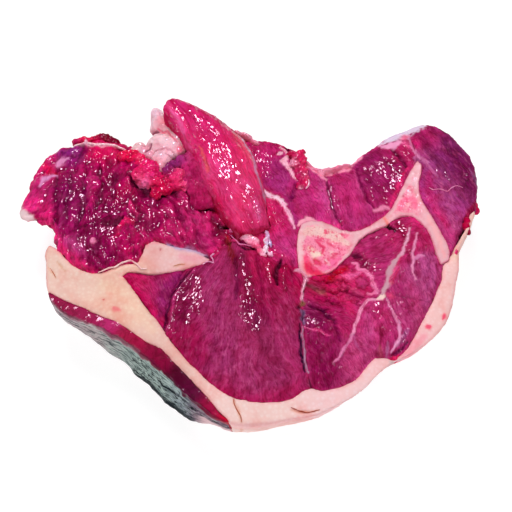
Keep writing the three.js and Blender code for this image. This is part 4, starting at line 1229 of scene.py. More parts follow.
# the fat cover with its wedge: crown is [depth, reach] and rim [tone, reach, strength] of its edge; tuck
# draws in its front wall, as [x, reach, in]; corner moves its left tip, as [x, y, reach, dx, dy]
fatCoverLook = {
    "voxel": 0.95, "gain": 0.95, "crown": [0.7, 1.6], "lumps": [[18.0, 0.7], [5.0, 0.25], [2.4, 0.12]],
    "rim": ["f4a0ac", 1.1, 0.45], "tuck": [74, 30, 3.2], "corner": [-136, 13, 7, -2.4, 0.6],
    "patches": [
        [-125, 0, 20, "eaccc0"], [-90, -20, 18, "eccab8"], [-60, -60, 18, "e6c2b8"], [-50, 10, 16, "e8c0c0"],
        [0, -100, 25, "f2d4d0"], [50, -95, 20, "f4d0d4"], [95, -60, 16, "f8c8cc"], [125, -20, 16, "fccccc"],
        [145, 30, 14, "f0ccb8"],
    ],
}


def fatCover():
    mesh, normals, points = surfaceOf("fat_cover", fatCoverLook["voxel"], 5)
    flat = planOf(points)
    paint = basePaint(flat, fatCoverLook["patches"])
    finish = plainFinish(flat)
    edge = distanceIn(outlineTree("fat_cover"), flat)
    tone, width, strong = fatCoverLook["rim"]
    tint(paint, tone, strong * bell(edge / width))
    crown, width = fatCoverLook["crown"]
    relief = applyMarks(flat, paint, finish, fatMarks) - crown * bell(edge / width)
    x, y, reach, dx, dy = fatCoverLook["corner"]
    points += np.outer(bell(np.linalg.norm(flat - (x, y), axis=1) / reach), [dx, dy, 0]) * mm
    points = shapeCutFace(points, normals, relief, faceHeight(points))
    setPositions(mesh, points)
    normals = normalsOf(mesh)
    push = unevenness(fatCoverLook, points / mm) * smoothStep(0, 6 * mm, points[:, 2])
    x, reach, inwards = fatCoverLook["tuck"]
    front = smoothStep(0.2, 0.7, -normals[:, 1]) * bell((flat[:, 0] - x) / reach)
    push -= inwards * front
    setPositions(mesh, keepInside(points + normals * [1, 1, 0.5] * (push * mm)[:, None]))
    return finishPiece("fatCover", mesh, coverFat, ["fat_cover"], "fat",
                       paint=underLight(paint, fatCoverLook["gain"]), finish=finish)


fatCover()

# the skin muscle with its stained outer membrane: foot moves the wall's foot out by [x, reach, out];
# stainLine is the height of the stain's upper edge, and the crack is a dark split in it; pairs are where a
# part of the stain begins and where it is full, along the wall (from, to) or up it (top, bottom)
skinLook = {
    "voxel": 0.85, "gain": 0.85, "wet": 0.35, "foot": [[-124, 14, -6.0], [-96, 12, 1.8], [-64, 11, -2.4]],
    "stainLine": 40, "stainDry": 0.85, "fadeTo": [-66, -80], "crackHeight": 33, "crackWidth": 1.6,
    "crackDark": 1.6, "crackFrom": [-66, -63], "crackTo": [-49, -52], "bottom": [7, 2], "blotTop": [22, 12],
    "blotFrom": [-88, -76], "blotTo": [-40, -48], "tipTop": [31, 26], "tipFrom": [-42, -33], "specks": 0.7,
    "speckFrom": [-98, -74], "speckTop": [47, 34],
    "patches": [
        [-128, -20, 10, "8c1440"], [-105, -32, 9, "941848"], [-96, -37, 7, "b42868"], [-80, -48, 9, "9c1840"],
        [-62, -62, 9, "841038"], [-50, -76, 8, "500828"], [-40, -88, 8, "5c0c34"], [-30, -98, 7, "980c3c"],
        [-22, -105, 5, "c80c30"],
    ],
    "stains": [
        [-122, -30, 9, "b09aa2"], [-108, -37, 8, "b8a6a8"], [-96, -44, 8, "a4a2a2"], [-84, -53, 8, "9ca8a4"],
        [-72, -64, 8, "a0b0aa"], [-62, -74, 8, "a4b4b0"], [-53, -82, 7, "a0acb0"], [-46, -87, 6, "8c949c"],
        [-38, -93, 6, "84687c"], [-28, -98, 6, "886478"],
    ],
    "fadeTone": "b88c98", "bandTone": "500a30", "footTone": "8c6870", "tipTone": "dcbcc0",
    "meatTint": "a85888", "streakTint": "707c80", "spotTint": "788c90", "paleStreak": "ccdcd2",
    "blotTone": "101a22",
}


def skinMaterial():
    # bare meat, and over it, where the first finish value is high, a dry membrane stained blue-green
    look = skinLook
    material, tree, shader = newMaterial("stainedMembrane")
    paint, grain = attributeOf(tree, "paint", "Color"), attributeOf(tree, "grain", "Vector")
    finish = addNode(tree, "ShaderNodeSeparateColor", {0: attributeOf(tree, "finish", "Color")}).outputs
    place = addNode(tree, "ShaderNodeTexCoord").outputs["Object"]
    fibres = placeGroup(tree, fibreGroup, {"Grain": grain, "Across": 700.0, "Along": 90.0})
    film = placeGroup(tree, wetGroup, {"Grain": grain, "Place": place, "Wet": finish[1], "Across": 450.0,
                                       "Along": 250.0, "Rough": 0.6, "Gloss": 1.0})
    shade = calc(tree, "MULTIPLY", fibres["Dark"], 0.5)
    meat = blend(tree, shade, paint, rgb(look["meatTint"]), "MULTIPLY")
    streaks = noiseOf(tree, stretched(tree, grain, 90.0, 520.0), 1.0, 4.0, 0.75)
    stain = blend(tree, ramp(tree, streaks, 0.52, 0.38, 0.0, 0.9), paint, rgb(look["streakTint"]), "MULTIPLY")
    spots = noiseOf(tree, stretched(tree, grain, 160.0, 420.0), 1.0, 4.0, 0.7)
    stain = blend(tree, ramp(tree, spots, 0.5, 0.62, 0.0, 0.7), stain, rgb(look["spotTint"]), "MULTIPLY")
    stain = blend(tree, ramp(tree, streaks, 0.53, 0.64, 0.0, 0.6), stain, rgb(look["paleStreak"]))
    # the third finish value brings out dark blots, and fills the crack with them
    blots = noiseOf(tree, stretched(tree, grain, 240.0, 520.0), 1.0, 5.0, 0.75)
    blots = calc(tree, "ADD", blots, calc(tree, "MULTIPLY", finish[2], 0.25))
    stain = blend(tree, ramp(tree, blots, 0.66, 0.75, 0.0, 1.0), stain, rgb(look["blotTone"]))
    colour = blend(tree, finish[0], meat, stain)
    height = calc(tree, "ADD", fibres["Height"], calc(tree, "MULTIPLY", streaks, 1.4))
    dress(tree, shader, colour, film, height, 1.0, 0.0004, 0.0005)
    setSockets(shader, IOR=1.4, Specular_IOR_Level=0.1, Coat_Roughness=0.1, Coat_IOR=1.8)
    return material


def stainTop(flat):
    # the height of the stain's ragged upper edge: higher at the wall's left end, and again round its corner
    x = flat[:, 0]
    line = skinLook["stainLine"] + 3.4 * layered(fineNoise, deepen(flat), 9, 3) + 3 * smoothStep(-110, -60, x)
    line += 4.5 * smoothStep(-92, -106, x) + 3 * bell((x + 54) / 16)
    return line + 1.5 * layered(fineNoise, deepen(flat), 2.5, 2)


def paintWall(flat, heights, outward, paint, finish):
    # the stain with its pale and dark edges, the crack and specks in it, and the pale foot and tip below
    look, x = skinLook, flat[:, 0]
    line = stainTop(flat)
    stain = outward * smoothStep(line + 0.8, line - 0.8, heights)
    fade = outward * smoothStep(line - 2, line, heights) * smoothStep(line + 8, line + 2, heights)
    tint(paint, look["fadeTone"], fade * 0.8 * smoothStep(*look["fadeTo"], x))
    crack = outward * smoothStep(*look["crackFrom"], x) * smoothStep(*look["crackTo"], x)
    wander = layered(fineNoise, deepen(flat), 4, 2)
    crack *= bell((heights - look["crackHeight"] - wander) / look["crackWidth"])
    band = outward * smoothStep(line + 10, line + 4, heights) * smoothStep(line, line + 3, heights)
    tint(paint, look["bandTone"], band * 0.6)
    uneven = heights + 2 * layered(fineNoise, deepen(flat), 5, 2)
    foot = outward * smoothStep(*look["bottom"], uneven)
    tint(paint, look["footTone"], foot)
    paint += (basePaint(flat, look["stains"]) - paint) * (stain * (1 - foot))[:, None]
    blotted = smoothStep(*look["blotTop"], uneven) * smoothStep(*look["blotFrom"], x)
    blotted *= smoothStep(*look["blotTo"], x)
    tip = outward * smoothStep(*look["tipTop"], uneven) * smoothStep(*look["tipFrom"], x)
    tint(paint, look["tipTone"], tip)
    finish[:, 0] = stain * (1 - np.maximum(foot, tip))
    finish[:, 1] *= 1 - look["stainDry"] * stain
    specks = look["specks"] * smoothStep(*look["speckFrom"], x) * smoothStep(*look["speckTop"], heights)
    finish[:, 2] = np.maximum(look["crackDark"] * crack, specks + 0.5 * blotted)


def skinMuscle():
    mesh, normals, points = surfaceOf("skin_muscle", skinLook["voxel"], 5)
    flat = planOf(points)
    heights = points[:, 2] / mm
    paint = basePaint(flat, skinLook["patches"])
    finish = plainFinish(flat, skinLook["wet"])
    points = shapeCutFace(points, normals, np.zeros(len(flat)), faceHeight(points))
    outward = smoothStep(0.2, 0.6, -normals[:, 1] * 0.8 - 0.5 * normals[:, 0])
    paintWall(flat, heights, outward, paint, finish)
    setPositions(mesh, points)
    normals = normalsOf(mesh)
    grain = np.column_stack([flat @ (0.72, -0.69), heights, flat @ (0.69, 0.72)])
    push = 0.7 * layered(broadNoise, points / mm, 9, 3) + 0.6 * fineNoise(grain / np.array([14, 3.0, 6]))
    for x, reach, out in skinLook["foot"]:
        push += outward * out * smoothStep(34, 0, heights) * bell((flat[:, 0] - x) / reach)
    bed = np.maximum(smoothStep(0, 3, heights), outward)[:, None]
    setPositions(mesh, keepInside(points + normals * np.array([1, 1, 0.4]) * push[:, None] * bed * mm))
    return finishPiece("skinMuscle", mesh, skinMaterial(), ["skin_muscle"], "skin_meat",
                       paint=underLight(paint, skinLook["gain"]), grain=grain * mm, finish=finish)


skinMuscle()

# the sawn shoulder blade: rim is the thickness of the hard bone round the marrow, and thins is how much of it
# goes on the marrow's lower side; marrowEnd is where the marrow begins to show and where it is full, and
# marrowSpot is [x, reach, strength] of its second place
bladeLook = {
    "voxel": 0.65, "gain": 0.92, "rim": 2.6, "thins": 1.8, "marrowEnd": [68, 56], "marrowSpot": [102, 9, 0.7],
    "marrowShare": 0.85, "pits": 0.25, "pitSize": 1.6, "rimTone": "e4aeb6", "marrowTone": "fa84a8",
    "edgeTone": "d85888",
}


def shoulderBlade():
    mesh, normals, points = surfaceOf("shoulder_blade", bladeLook["voxel"], 4)
    flat = planOf(points)
    paint = np.tile(toneOf(bladeLook["rimTone"]), (len(points), 1))
    edge = distanceIn(outlineTree("shoulder_blade"), flat)
    wander = layered(fineNoise, deepen(flat), 4, 2)
    x, y = flat.T
    # the marrow ends where the thin plate begins, and shows once more where the spine and the arm part
    thinned = bladeLook["thins"] * smoothStep(26, 12, y - 0.5 * (x - 40)) * smoothStep(34, 44, x)
    rim = bladeLook["rim"] - thinned
    marrow = smoothStep(rim, rim + 1.6, edge + wander)
    spot, reach, strong = bladeLook["marrowSpot"]
    marrow *= np.maximum(smoothStep(*bladeLook["marrowEnd"], x), strong * bell((x - spot) / reach))
    tint(paint, bladeLook["marrowTone"], marrow * bladeLook["marrowShare"])
    tint(paint, bladeLook["edgeTone"], 0.7 * bell(edge / 0.7))
    finish = plainFinish(flat)
    relief = applyMarks(flat, paint, finish, boneMarks)
    finish[:, 2] = marrow
    points = shapeCutFace(points, normals, relief * 0.6 + 0.5, faceHeight(points))
    pits = bladeLook["pits"] * marrow * np.abs(fineNoise(points / mm / bladeLook["pitSize"]))
    push = 0.15 * layered(broadNoise, points / mm, 3, 2) - pits
    setPositions(mesh, keepInside(points + normals * (push * mm)[:, None]))
    return finishPiece("shoulderBlade", mesh, sawnBone, ["shoulder_blade"], "bone",
                       paint=underLight(paint, bladeLook["gain"]), finish=finish)


shoulderBlade()


# lobed lumps: the knob of fat, torn shreds and scraps
# each lobe is at [x, y, z] with half sizes [a, b, c] in millimetres and a tone, turned about the vertical
def lobe(x, y, z, a, b, c, tone, turn=0):
    return {"at": [x, y, z], "size": [a, b, c], "turn": turn, "tone": tone}


knobMarks = [
    # painted shade: the dark tones along the knob's slot and creases
    mark([[-76, 109], [-72, 109], [-69, 108]], 1.0, -1.2, "a84c70", 0.8),
    mark([[-70, 92], [-64, 93], [-60, 92], [-55, 87]], 0.8, -0.9, "c87890", 0.6),
    mark([[-69, 110], [-65, 107], [-62, 107], [-59, 103], [-55, 98]], 0.9, -0.4, "e83c6c", 0.7),
    mark([[-62, 88], [-56, 84]], 0.7, -0.6, "c06080", 0.6),
    mark([[-73, 98], [-74, 95], [-77, 92]], 0.9, -1.2, "8c2050", 0.8),
    mark([[-53, 92]], 2.6, 0, "f85888", 0.8),
    mark([[-66, 116]], 4.0, 0, "fc8c9c", 0.6),
    mark([[-78, 97]], 2.4, 0, "e884a8", 0.6),
]

lobedPieces = {
    "fatKnob": {
        "nodes": ["fat_knob"], "slot": "knob_fat", "look": "fat", "voxel": 0.6, "rounding": 7,
        "lumps": [[8.0, 0.8], [3.4, 0.15]], "creased": [[8.0, 0.5]], "wet": 0.8, "gain": 1.04,
        "valleyShade": "e898ac", "marks": knobMarks,
        "lobes": [
            lobe(-70, 123, 46, 5, 8, 9, "fcd4e8", 10), lobe(-67, 116, 47, 8, 9, 9, "fcccdc"),
            lobe(-61, 112, 48, 8, 9, 8, "fcbcc8", -30), lobe(-57, 106, 47, 8, 10, 8, "fcc8cc", -35),
            lobe(-66, 101, 46, 10, 9, 10, "fce0e8"), lobe(-56, 99, 49, 9, 11, 8, "fcd0e0", -35),
            lobe(-71, 100, 45, 6, 8, 9, "f8ccd8"), lobe(-62, 92, 50, 9, 5, 6, "fcd0e0", -20),
            lobe(-53, 93, 49, 5, 5, 6, "fc98b0"), lobe(-65, 86, 51, 7, 8, 6, "fcc0d4"),
            lobe(-66, 80, 52, 4, 6, 4, "fca8c0"), lobe(-83, 96, 45, 6, 5, 6, "fcd4d8"),
            lobe(-82, 100, 44, 5, 4, 5, "f8ccd4"), lobe(-78, 93, 46, 5, 6, 6, "f8b4d0", 20),
            lobe(-74, 90, 47, 4, 5, 5, "f49cc0", 20), lobe(-66, 100, 36, 12, 14, 12, "f4ccc8"),
        ],
    },
    "tornLumps": {
        "slot": "neck_meat", "look": "torn", "voxel": 0.6, "rounding": 3, "lumps": [[5.0, 0.8], [2.4, 0.5]],
        "creased": [[5.0, 0.8], [2.6, 0.4]], "wet": 0.6, "gain": 0.63,
        "lobes": [
            lobe(-91, 87, 52, 6, 4, 5, "cc1048"), lobe(-85, 87, 53, 5, 5, 5, "d81448"),
            lobe(-80, 83, 54, 5, 5, 5, "e01850"), lobe(-74, 76, 55, 8, 7, 6, "ec2064", -30),
            lobe(-79, 71, 54, 7, 6, 5, "d8145c", -20), lobe(-71, 70, 55, 6, 6, 5, "ec2478"),
            lobe(-77, 66, 53, 7, 3.5, 4, "ee6494", -20), lobe(-66, 65, 54, 7, 6, 5, "c01048", 10),
            lobe(-68, 58, 52, 4, 6, 4, "b40c40"), lobe(-62, 60, 53, 5, 4, 4, "bc0c44"),
            lobe(-60, 74, 55, 4, 6, 5, "70205c"), lobe(-53, 69, 55, 7, 7, 5, "d02c68", -20),
            lobe(-48, 66, 54, 5, 7, 4, "dc4478"), lobe(-55, 63, 54, 6, 4, 4, "c41c54", 10),
            lobe(-50, 74, 54, 5, 2.5, 3, "ec7498", -10),
        ],
    },
    "tornEar": {
        "slot": "neck_meat", "look": "neck", "voxel": 0.7, "rounding": 7, "lumps": [[6.0, 0.6], [2.4, 0.3]],
        "creased": [[9.0, 0.4]], "wet": 0.25, "gain": 0.74, "bearing": 105,
        "lobes": [
            lobe(-56, 80, 53, 5, 4, 4, "7c2464"), lobe(-50, 83, 55, 6, 4, 4, "942c70"),
            lobe(-43, 84, 57, 7, 6, 4, "b43068"), lobe(-38, 77, 59, 8, 9, 4, "b82864", -20),
            lobe(-34, 69, 59, 7, 9, 4, "b42860"), lobe(-31, 61, 58, 6, 9, 4, "b4245c"),
            lobe(-30, 52, 56, 6, 8, 4, "b02058"), lobe(-44, 68, 55, 7, 9, 4, "ac2060"),
            lobe(-39, 60, 56, 8, 9, 4, "ac2058"), lobe(-46, 76, 55, 6, 6, 4, "ac2460"),
            lobe(-37, 51, 54, 8, 7, 4, "a01850"),
        ],
    },
    "tornChunks": {
        "slot": "neck_meat", "look": "neck", "voxel": 0.75, "rounding": 4, "lumps": [[5.0, 0.9], [2.4, 0.3]],
        "creased": [[5.0, 0.9]], "wet": 0.35, "gain": 0.71, "bearing": 118,
        "lobes": [
            lobe(-73, 51, 47.6, 6, 5, 3.6, "80104c", 20), lobe(-63, 49, 47.8, 5, 6, 3.6, "981454"),
            lobe(-53, 52, 48, 5, 5, 3.6, "a41858"), lobe(-45, 49, 48, 5, 4, 3.6, "a81c5c", 30),
            lobe(-68, 39, 47.6, 5, 6, 3.6, "94104c", 20), lobe(-57, 40, 48, 6, 5, 3.6, "a81858", -30),
            lobe(-47, 38, 48, 5, 6, 3.6, "ac2060", 10), lobe(-76, 37, 47.4, 4, 6, 3.4, "881048"),
            lobe(-62, 28, 47.6, 6, 5, 3.4, "9c1450"), lobe(-50, 27, 47.8, 6, 4, 3.4, "ac2464", 20),
            lobe(-38, 33, 48, 5, 6, 3.4, "b0245c"), lobe(-38, 42, 48, 4, 4, 3.4, "9c1450"),
            lobe(-72, 28, 47.2, 4, 5, 3.4, "a81854"),
        ],
    },
    "forkTears": {
        "slot": "meat", "look": "torn", "voxel": 0.6, "rounding": 3, "lumps": [[4.0, 0.8], [2.0, 0.3]],
        "creased": [[4.0, 0.8]], "wet": 0.22, "gain": 0.72, "bearing": -25, "marks": cutMarks,
        "lobes": [
            lobe(40, -6, 48, 4, 2.6, 3.2, "b81450", -20), lobe(47, -6, 48, 4, 2.8, 3.4, "c01848", -15),
            lobe(55, -6, 48, 4, 3, 3.2, "d02c60"), lobe(42, -21, 47.8, 5, 2.8, 3.2, "a81450", -15),
            lobe(50, -13, 48, 5, 3, 3.4, "b81c54", -25), lobe(58, -12, 48, 4, 3, 3.2, "c02c64", -20),
            lobe(51, -22, 47.8, 5, 2.8, 3.4, "ac1c58", -20), lobe(58, -20, 48, 4, 3, 3.2, "b42c64", -30),
            lobe(37, -33, 47.4, 4, 2.8, 3.2, "78184c", -10),
            lobe(46, -33, 47.6, 4.5, 2.8, 3.2, "94144c", -20),
            lobe(56, -29, 47.8, 4, 3.4, 3.2, "a82460", -30), lobe(70, -9, 47.8, 5, 4.4, 3.2, "b03068"),
            lobe(64, -22, 47.8, 3.6, 4, 3.2, "b02c64", -60), lobe(36, -46, 47.2, 3.4, 4, 3, "741448"),
            lobe(42, -42, 47.4, 4, 2.8, 3, "881850", -20), lobe(98, 27, 47.4, 3.4, 3.6, 3.2, "84083c"),
            lobe(92, 28, 47.4, 3, 3, 3, "a01c54"),
        ],
    },
    "backScraps": {
        "slot": "neck_meat", "look": "torn", "voxel": 0.7, "rounding": 3, "lumps": [[4.0, 0.8], [2.0, 0.4]],
        "creased": [[3.4, 0.8]], "wet": 0.4, "gain": 0.70,
        "lobes": [
            lobe(-126, 103, 46, 3, 3, 5, "b8205c"), lobe(-120, 104, 47, 5, 3, 4, "cc1c4c"),
            lobe(-114, 105, 46, 4, 3, 5, "c41448"), lobe(-108, 106.5, 46, 5, 4, 5, "780c28", 10),
            lobe(-101, 104, 45, 5, 4, 5, "6c0824", -10), lobe(-95, 100, 44, 5, 3.5, 4, "8c0c34", -30),
            lobe(-90, 96, 43, 4, 3, 3, "a4204c", -30),
        ],
    },
    "backShreds": {
        "slot": "meat", "look": "torn", "voxel": 0.6, "rounding": 4, "lumps": [[4.0, 0.9], [2.0, 0.4]],
        "creased": [[3.0, 0.8]], "wet": 0.5, "gain": 0.7, "bearing": 80,
        "lobes": [
            lobe(25, 91, 50, 4, 2.4, 3, "b81450", -20), lobe(31, 92, 50, 4, 2, 3, "dc2460", 10),
            lobe(28, 87, 51.5, 4, 4, 2.5, "b01450", 10), lobe(33, 86, 51, 2.6, 5, 2.5, "e42c68", 10),
            lobe(28, 80, 52, 3.4, 5, 2.2, "b8205c", 10), lobe(33, 78, 51, 3, 5, 2.2, "d82460", 10),
            lobe(25, 82, 52.5, 1.4, 4, 1.6, "f0a0bc", 10), lobe(30, 72, 52, 3.4, 5, 2.2, "b01c58", 10),
            lobe(34, 68, 51.5, 2.2, 5, 2, "cc2460", 10), lobe(30, 64, 52, 3, 3, 2, "b01450"),
            lobe(31, 62, 52.5, 2, 1.4, 1.6, "f0a4c0"), lobe(35, 73, 51, 1.6, 4, 1.6, "ec5c8c", 10),
        ],
    },
    "edgeScraps": {
        "slot": "meat", "look": "neck", "voxel": 0.6, "rounding": 3, "lumps": [[3.0, 0.4]],
        "wet": 0.3, "gain": 0.70,
        "lobes": [
            lobe(149, 51, 46.5, 2.6, 3.2, 4, "b00c40"), lobe(150.5, 48, 45, 2.2, 2.4, 3, "c01850"),
            lobe(142.5, 38, 48.5, 2.6, 3, 3.6, "a80c3c", 20), lobe(141.5, 34, 48.5, 3, 3, 3.6, "b4103c", 20),
            lobe(143, 31, 47, 2, 2.4, 3, "8c0830", 20), lobe(134, 15, 47.5, 1.6, 5, 2, "cc2c64", -20),
        ],
    },
    "tendonEnds": {
        "slot": "fat", "look": "sinew", "voxel": 0.45, "rounding": 2, "lumps": [[4.0, 0.5], [1.8, 0.2]],
        "creased": [[2.6, 0.5]], "wet": 0.6, "gain": 0.85, "valleyShade": "c01c60",
        "lobes": [
            lobe(-15, 28.5, 52, 3.5, 1.1, 1.6, "dc70ac", -15),
            lobe(-11, 27, 53, 4.5, 1.5, 1.8, "f070ac", -25), lobe(-12, 24.5, 52, 4, 0.9, 1.4, "b83880", -35),
            lobe(-6, 24, 53.2, 5, 2.4, 1.6, "fcb4c8", -20), lobe(-5, 21, 52.8, 5.4, 2.4, 1.5, "f898b8", -35),
            lobe(-1, 20.5, 53.2, 4.4, 2.6, 1.5, "fca0bc", -40),
            lobe(-3, 18, 52.5, 4, 1.2, 1.5, "e84c84", -30), lobe(1, 16.5, 53, 3, 2, 1.8, "f45c8c", -50),
            lobe(3, 13, 52.5, 2.4, 2.2, 1.6, "ec3c74"), lobe(7.6, 25, 53, 1.2, 3.4, 1.6, "d4a4d0", 20),
            lobe(7, 20, 53, 1.7, 3.6, 1.6, "f4dcf0"), lobe(6.4, 14.5, 53, 1.8, 3.4, 1.6, "f8e0f0", -10),
            lobe(9.6, 19, 52.5, 1.0, 4, 1.4, "a890cc", 5), lobe(9.6, 11, 52, 2.4, 1.6, 1.4, "f0b0d0", -40),
            lobe(4.5, 10.5, 52, 2.6, 1.3, 1.4, "f49cb8", -25),
        ],
    },
    "rearFat": {
        "slot": "fat", "look": "fat", "voxel": 0.6, "rounding": 4, "lumps": [[4.0, 0.5]],
        "wet": 0.4, "gain": 1.0, "valleyShade": "e0709c",
        "lobes": [
            lobe(-13, 108.5, 49, 4, 2, 4, "f48cac", -20), lobe(-7, 106.5, 49, 5, 2.4, 4, "f498b4", -25),
            lobe(-1, 102, 48, 4, 2, 3, "f08cac", -35),
        ],
    },
    "notchFat": {
        "slot": "fat", "look": "fat", "voxel": 0.6, "rounding": 4, "lumps": [[4.0, 0.5]],
        "creased": [[3.0, 0.3]], "wet": 0.3, "gain": 1.0, "valleyShade": "e0709c",
        "lobes": [
            lobe(36, 84, 46, 4, 1.6, 5, "f484a8", -40), lobe(42, 79, 46, 5, 2, 5, "f490b0", -10),
            lobe(49, 78.5, 46.3, 5, 2.2, 5, "f498b4", 10), lobe(56, 80.5, 46.3, 5, 2.2, 5, "f484a8", 20),
            lobe(62, 82.5, 46, 4.5, 1.8, 5, "f490b0", 10), lobe(45, 75.5, 48.6, 3, 2, 2, "f490b0", -40),
        ],
    },
}


lobeMaterials = {"neck": meatMaterials["neck"], "torn": meatMaterials["torn"], "fat": lumpFat,
                 "sinew": sinewSheet}


def lobedPiece(name, settings):
    # overlapping lobes joined into one skin, then creased and lumped
    build = bmesh.new()
    for entry in settings["lobes"]:
        turn = math.radians(entry["turn"])
        ball = bmesh.ops.create_icosphere(build, subdivisions=3, radius=1)["verts"]
        shape = np.array([list(v.co) for v in ball]) * entry["size"]
        cosine, sine = math.cos(turn), math.sin(turn)
        spun = shape @ np.array([[cosine, sine, 0], [-sine, cosine, 0], [0, 0, 1]])
        for vertex, spot in zip(ball, frameOf(spun + entry["at"])):
            vertex.co = spot
    solid = bpy.data.meshes.new(name)
    build.to_mesh(solid)
    build.free()
    mesh = meshOf(solid, settings["voxel"], settings["rounding"])
    points, normals = positionsOf(mesh), normalsOf(mesh)
    push = unevenness(settings, points / mm + 7, points / mm + 7)
    spots = frameOf([entry["at"] for entry in settings["lobes"]])
    sizes = np.array([max(entry["size"]) for entry in settings["lobes"]]) * mm
    pull = bell(np.linalg.norm(points[:, None] - spots[None], axis=2) / sizes / 0.7) + 1e-7
    pull /= pull.sum(axis=1)[:, None]
    paint = pull @ np.array([toneOf(entry["tone"]) for entry in settings["lobes"]])
    # painted shade: the valleys of the creases and lumps darken towards the piece's valleyShade tone
    paint += (toneOf(settings.get("valleyShade", "780a38")) - paint) * 0.6 * np.clip(-push / 0.8, 0, 1)[:, None]
    flat = planOf(points)
    finish = plainFinish(flat, settings["wet"])
    push += applyMarks(flat, paint, finish, settings.get("marks", [])) * smoothStep(0, 0.6, normals[:, 2])
    points = keepInside(points + normals * (push * mm)[:, None])
    setPositions(mesh, points)
    along, across = alongAcross(flat, settings.get("bearing", 0))
    grain = np.column_stack([along, across, np.zeros(len(flat))]) + np.outer(points[:, 2] / mm, [0, 0.5, 1])
    material = lobeMaterials[settings["look"]]
    return finishPiece(name, mesh, material, settings.get("nodes", []), settings["slot"],
                       paint=underLight(paint, settings["gain"]), grain=grain * mm, finish=finish)


for name, settings in lobedPieces.items():
    lobedPiece(name, settings)

# sinew strands, drawn out along their paths by geometry nodes
# each strand has a plan path, its half thickness, how far it stands above the cut face, and its tone
def strand(path, girth, lift, tone):
    return {"path": path, "girth": girth, "lift": lift, "tone": tone}


strands = [
    strand([[82, -22], [77, -22], [73, -22], [70, -26], [67, -32], [65, -38], [63, -44]], 0.5, 0.0, "e888b0"),
    strand([[85, -22], [87, -27], [89, -32], [91, -37], [92, -42]], 0.45, 0.0, "e484ac"),
    strand([[64, 6], [67, 4], [68, 1], [73, -1], [76, -5], [77, -10], [79, -16]], 0.55, 0.0, "e46c9c"),
    strand([[31, -42], [35, -44], [40, -45], [44, -48], [47, -49]], 0.45, 0.1, "e0609c"),
    strand([[3, 66], [6, 60], [8, 56], [13, 55], [17, 52], [20, 45], [22, 41], [24, 36], [26, 30]], 0.8, 0.1,
           "f8c0d8"),
    strand([[17, 99], [20, 96], [22, 92], [21, 87], [19, 86], [21, 82], [23, 78], [25, 73], [28, 69]], 0.8,
           0.2, "f8b4c8"),
    strand([[118, 62], [121, 60], [126, 60], [130, 58], [133, 61], [137, 63], [141, 62]], 0.4, 0.1, "e080b0"),
    strand([[26, 0], [30, -1], [33, -5], [32, -10], [30, -16], [30, -22]], 0.7, 0.1, "e8a8c0"),
    strand([[-35, 3], [-33, 5], [-30, 5], [-28, 4], [-29, 8], [-30, 9], [-28, 11], [-27, 14], [-25, 13]], 0.5,
           0.4, "e8a0cc"),
    strand([[-104, -2], [-98, 0], [-92, 2], [-88, 5], [-83, 6], [-79, 4], [-76, 1], [-72, 1]], 0.65, 0.4,
           "f8d0d0"),
    strand([[-127, 98], [-119, 100.5], [-112, 98.5], [-105, 99], [-98, 97.5], [-90, 94]], 0.9, 1.3, "f4ccd4"),
    strand([[-17, 25], [-14, 22], [-11, 18], [-7, 17], [-3, 16]], 0.5, 1.6, "dc70a4"),
    strand([[34, 61], [36, 64], [36, 69]], 0.7, 0.6, "ecb0c8"),
    strand([[-14, -91], [-14, -94], [-12, -98], [-10, -102], [-9, -106]], 0.32, -0.1, "b45c30"),
    strand([[22, -97], [27, -99], [31, -100], [36, -99], [40, -98]], 0.34, -0.1, "a84c34"),
    strand([[-137, 3], [-135, 0], [-132, -5]], 0.28, -0.1, "c07c4c"),
    strand([[-55, 3], [-51, 4], [-47, 4]], 0.25, -0.1, "c88458"),
]


def buildStrandTree():
    tree = bpy.data.node_groups.new("strandTree", "GeometryNodeTree")
    tree.interface.new_socket("Paths", in_out="INPUT", socket_type="NodeSocketGeometry")
    for title, kind, value in (("Step", "Float", 0.0008), ("Sides", "Int", 8), ("Unevenness", "Float", 0.25)):
        socket = tree.interface.new_socket(title, in_out="INPUT", socket_type="NodeSocket" + kind)
        socket.default_value = value
    tree.interface.new_socket("Material", in_out="INPUT", socket_type="NodeSocketMaterial")
    tree.interface.new_socket("Strands", in_out="OUTPUT", socket_type="NodeSocketGeometry")
    given = tree.nodes.new("NodeGroupInput").outputs
    girth = addNode(tree, "GeometryNodeInputNamedAttribute", {"Name": "girth"}, data_type="FLOAT").outputs[0]
    curve = addNode(tree, "GeometryNodeMeshToCurve", {"Mesh": given["Paths"]}).outputs[0]
    links = {"Curve": curve, "Length": given["Step"]}
    even = addNode(tree, "GeometryNodeResampleCurve", links, mode="LENGTH")
    place = addNode(tree, "GeometryNodeInputPosition").outputs[0]
    uneven = calc(tree, "SUBTRACT", noiseOf(tree, place, 450.0, 2.0, 0.6), 0.5)
    uneven = calc(tree, "MULTIPLY", calc(tree, "MULTIPLY", uneven, given["Unevenness"]), 4.0)
    sized = calc(tree, "MULTIPLY", girth, calc(tree, "ADD", uneven, 1.0))
    links = {"Resolution": given["Sides"], "Radius": 1.0}
    ring = addNode(tree, "GeometryNodeCurvePrimitiveCircle", links).outputs[0]
    links = {"Curve": even.outputs[0], "Profile Curve": ring, "Scale": sized, "Fill Caps": True}
    tube = addNode(tree, "GeometryNodeCurveToMesh", links).outputs[0]
    real = addNode(tree, "GeometryNodeRealizeInstances", {"Geometry": tube}).outputs[0]
    done = addNode(tree, "GeometryNodeSetMaterial", {"Geometry": real, "Material": given["Material"]})
    tree.links.new(done.outputs[0], tree.nodes.new("NodeGroupOutput").inputs["Strands"])
    return tree


